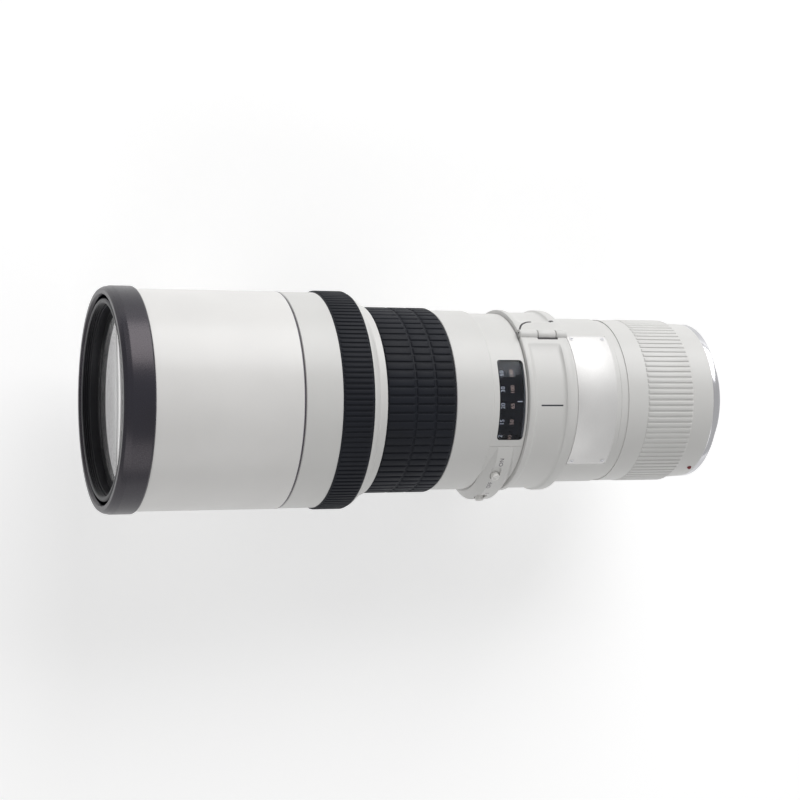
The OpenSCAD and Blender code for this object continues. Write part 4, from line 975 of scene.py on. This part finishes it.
def make_collar():
    """Both halves of the collar, with their shares of the hinge, the clamp and the foot."""
    s0, s1 = rear_s("collar_upper"), front_s("collar_upper")
    mid0, mid1 = s0 + REAR_EAR, s1 - FRONT_EAR
    slot, play = HINGE_SLOT, HINGE_PLAY
    upper, lower = bmesh.new(), bmesh.new()
    collar_arc(upper, s0, s1, CLAMP_ANGLE - 360 + play, HINGE_ANGLE - slot, -48.0, 128.0)
    collar_arc(lower, s0, s1, HINGE_ANGLE + slot, CLAMP_ANGLE - play, 147.5, 293.0)
    for a, b in ((s0, mid0), (mid1, s1)):
        ear(upper, a, b, HINGE_ANGLE - slot, HINGE_ANGLE - play)
    ear(lower, mid0 + EAR_GAP, mid1 - EAR_GAP, HINGE_ANGLE + play, HINGE_ANGLE + slot)
    clamp_lugs(upper, lower, s1 - s0)
    foot(lower, 0.5 * (s0 + s1))
    dress(finish_mesh(upper, "collar_upper_fine"), "collar_upper", "white_paint",
          ["collar_upper"])
    dress(finish_mesh(lower, "collar_lower_fine"), "collar_lower", "white_paint",
          ["collar_lower"])


# Name plate and small marks

def make_name_plate():
    """Bare curved plate, held by four small screws; no lettering."""
    s0, s1 = rear_s("name_plate"), front_s("name_plate")
    top, half_angle, corner, depth, edge = 34.9, 49.85, 1.2, 0.6, 0.12
    half = math.radians(half_angle) * top
    plate = patch("name_plate_fine", 90.0, half, s0, s1, corner, plate_layers(top, depth, edge))
    dress(plate, "barrel", "plate", ["name_plate"])


def small_mark(name, angle, half, s0, s1, corner, bottom, top):
    """A mark round the lens, its faces at the radii bottom and top."""
    return patch(name, angle, half, s0, s1, corner, [(bottom, 0.0), (top, 0.0)], columns=4)


def make_marks():
    """Index line of the collar, the dial's pointer, and painted shade where parts meet.

    The painted shade is dark lines and rings in the gaps, a dark dot for the hinge pin's hole
    and a dark coat on the rear edge of the hood, which lies just over its paint.
    """
    floor = COLLAR_R - RECESS
    line = small_mark("index_line", angle=86.6, half=0.3, s0=73.7, s1=83.5, corner=0.05,
                      bottom=floor - 0.1, top=floor + 0.02)
    dress(line, "collar_upper", "black_plastic", material="ink")
    # Dark lines of painted shade along the gaps round the hinge
    for name, body, points, width in SEAM_SHADE_LINES:
        dress(stroke(name, points, width, COLLAR_R), body, "black_plastic", material="seam")
    # A dark dot of painted shade stands for the hinge pin's hole
    pin = small_mark("pin_hole_shade", angle=136.2, half=0.4, s0=86.3, s1=87.0, corner=0.3,
                     bottom=39.1, top=39.33)
    dress(pin, "collar_upper", "black_plastic", material="seam")
    pointer = small_mark("dial_pointer", angle=89.0, half=0.18, s0=91.2, s1=93.4, corner=0.1,
                         bottom=35.16, top=35.2)
    dress(pointer, "barrel", "white_plastic", material="white_ink")
    # Dark rings of painted shade in the gaps of the barrel
    for name, s0, s1, inner, outer in GAP_SHADE_RINGS:
        ring = lathe(name, [(s0, inner), (s0, outer), (s1, outer), (s1, inner)])
        dress(ring, "barrel", "black_plastic", material="seam")
    # The hood's rear edge gets a dark grey coat: painted shade that widens the seam behind the
    # hood
    rear, r = rear_s("hood_tube") - 0.01, outer_r("hood_tube") + 0.012
    front, low, fillet = rear + 0.5, r - 0.7, 0.45
    edge = lathe("hood_edge_shade", rounded([
        (rear, low, 0.0), (rear, r, fillet), (front, r, 0.0), (front, low, 0.0)]))
    dress(edge, "hood", "black_plastic", material="grey_ink_and_shade")


# Camera, floor and light

def make_camera():
    """Looks down at the top of the lens, from ahead of it, as the photograph does."""
    data = bpy.data.cameras.new("camera")
    data.lens, data.sensor_width = CAMERA_LENS, SENSOR_WIDTH
    data.clip_start, data.clip_end = 0.01, 50.0
    camera = bpy.data.objects.new("camera", data)
    axes = Matrix((CAMERA_RIGHT, CAMERA_UP, CAMERA_BACK)).transposed()
    camera.matrix_world = Matrix.Translation(CAMERA_PLACE) @ axes.to_4x4()
    bpy.context.scene.collection.objects.link(camera)
    bpy.context.scene.camera = camera


def seen_directly(mat):
    """1 for camera, glossy and transmission rays, otherwise 0."""
    path = add_node(mat, "ShaderNodeLightPath")
    either = add_node(mat, "ShaderNodeMath", operation="MAXIMUM")
    wire(mat, path, "Is Camera Ray", either, 0)
    wire(mat, path, "Is Glossy Ray", either, 1)
    any_of = add_node(mat, "ShaderNodeMath", operation="MAXIMUM")
    wire(mat, either, "Value", any_of, 0)
    wire(mat, path, "Is Transmission Ray", any_of, 1)
    return any_of


def floor_material():
    """A pale surface that keeps the shadow, with a glow that grows away from the lens."""
    mat = bpy.data.materials.new("floor")
    mat.use_nodes = True
    mat.node_tree.nodes.clear()
    diffuse = add_node(mat, "ShaderNodeBsdfDiffuse", Color=FLOOR_COLOR)
    coords = add_node(mat, "ShaderNodeTexCoord")
    reach = add_node(mat, "ShaderNodeVectorMath", operation="LENGTH")
    wire(mat, coords, "Object", reach, 0)
    near, far = GLOW_REACH
    spread = add_node(mat, "ShaderNodeMapRange", interpolation_type="SMOOTHSTEP", From_Min=near,
                      From_Max=far, To_Min=FLOOR_GLOW, To_Max=FAR_GLOW)
    wire(mat, reach, "Value", spread, "Value")
    shown = add_node(mat, "ShaderNodeMath", operation="MULTIPLY")
    wire(mat, seen_directly(mat), "Value", shown, 0)
    wire(mat, spread, "Result", shown, 1)
    glow = add_node(mat, "ShaderNodeEmission")
    wire(mat, shown, "Value", glow, "Strength")
    both = add_node(mat, "ShaderNodeAddShader")
    wire(mat, diffuse, "BSDF", both, 0)
    wire(mat, glow, "Emission", both, 1)
    wire(mat, both, "Shader", add_node(mat, "ShaderNodeOutputMaterial"), "Surface")
    return mat


def make_floor():
    """Pale floor under the foot; it shows white to the camera and keeps the shadow."""
    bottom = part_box("collar_lower")[0][2]
    bm = bmesh.new()
    bmesh.ops.create_grid(bm, x_segments=2, y_segments=2, size=FLOOR_HALF)
    mesh = bpy.data.meshes.new("floor")
    bm.to_mesh(mesh)
    bm.free()
    floor = bpy.data.objects.new("floor", mesh)
    floor.location = (MIDDLE[0], MIDDLE[1], bottom - FLOOR_DROP)
    bpy.context.scene.collection.objects.link(floor)
    mesh.materials.append(floor_material())


def area_light(name, place, size, power):
    """A rectangular lamp that looks at the middle of the lens."""
    data = bpy.data.lights.new(name, "AREA")
    data.shape = "RECTANGLE"
    data.size, data.size_y = size
    data.energy = power
    lamp = bpy.data.objects.new(name, data)
    aim = (Vector(MIDDLE) - Vector(place)).to_track_quat("-Z", "Y")
    lamp.matrix_world = Matrix.Translation(place) @ aim.to_matrix().to_4x4()
    bpy.context.scene.collection.objects.link(lamp)


def make_light():
    """Two lamps, and a white world that is dimmer as light and in reflections."""
    area_light("key", KEY_PLACE, KEY_SIZE, KEY_POWER)
    area_light("fill", FILL_PLACE, FILL_SIZE, FILL_POWER)
    world = bpy.data.worlds.new("world")
    bpy.context.scene.world = world
    world.use_nodes = True
    background = world.node_tree.nodes["Background"]
    background.inputs["Color"].default_value = (1.0, 1.0, 1.0, 1.0)
    path = add_node(world, "ShaderNodeLightPath")
    mirrored = add_node(world, "ShaderNodeMapRange", To_Min=AMBIENT, To_Max=MIRRORED)
    wire(world, path, "Is Glossy Ray", mirrored, "Value")
    strength = add_node(world, "ShaderNodeMapRange", To_Max=BACKDROP)
    wire(world, mirrored, "Result", strength, "To Min")
    wire(world, path, "Is Camera Ray", strength, "Value")
    wire(world, strength, "Result", background, "Strength")


# All together

dress_cad_nodes()
make_hood()
make_front_group()
make_glass()
make_ridged_ring()
make_shoulder()
make_focus_grip()
make_centre_barrel()
make_rear_ribs()
make_window()
make_switches()
make_collar()
make_name_plate()
make_marks()
make_camera()
make_floor()
make_light()
bpy.context.scene.view_settings.view_transform = "Standard"
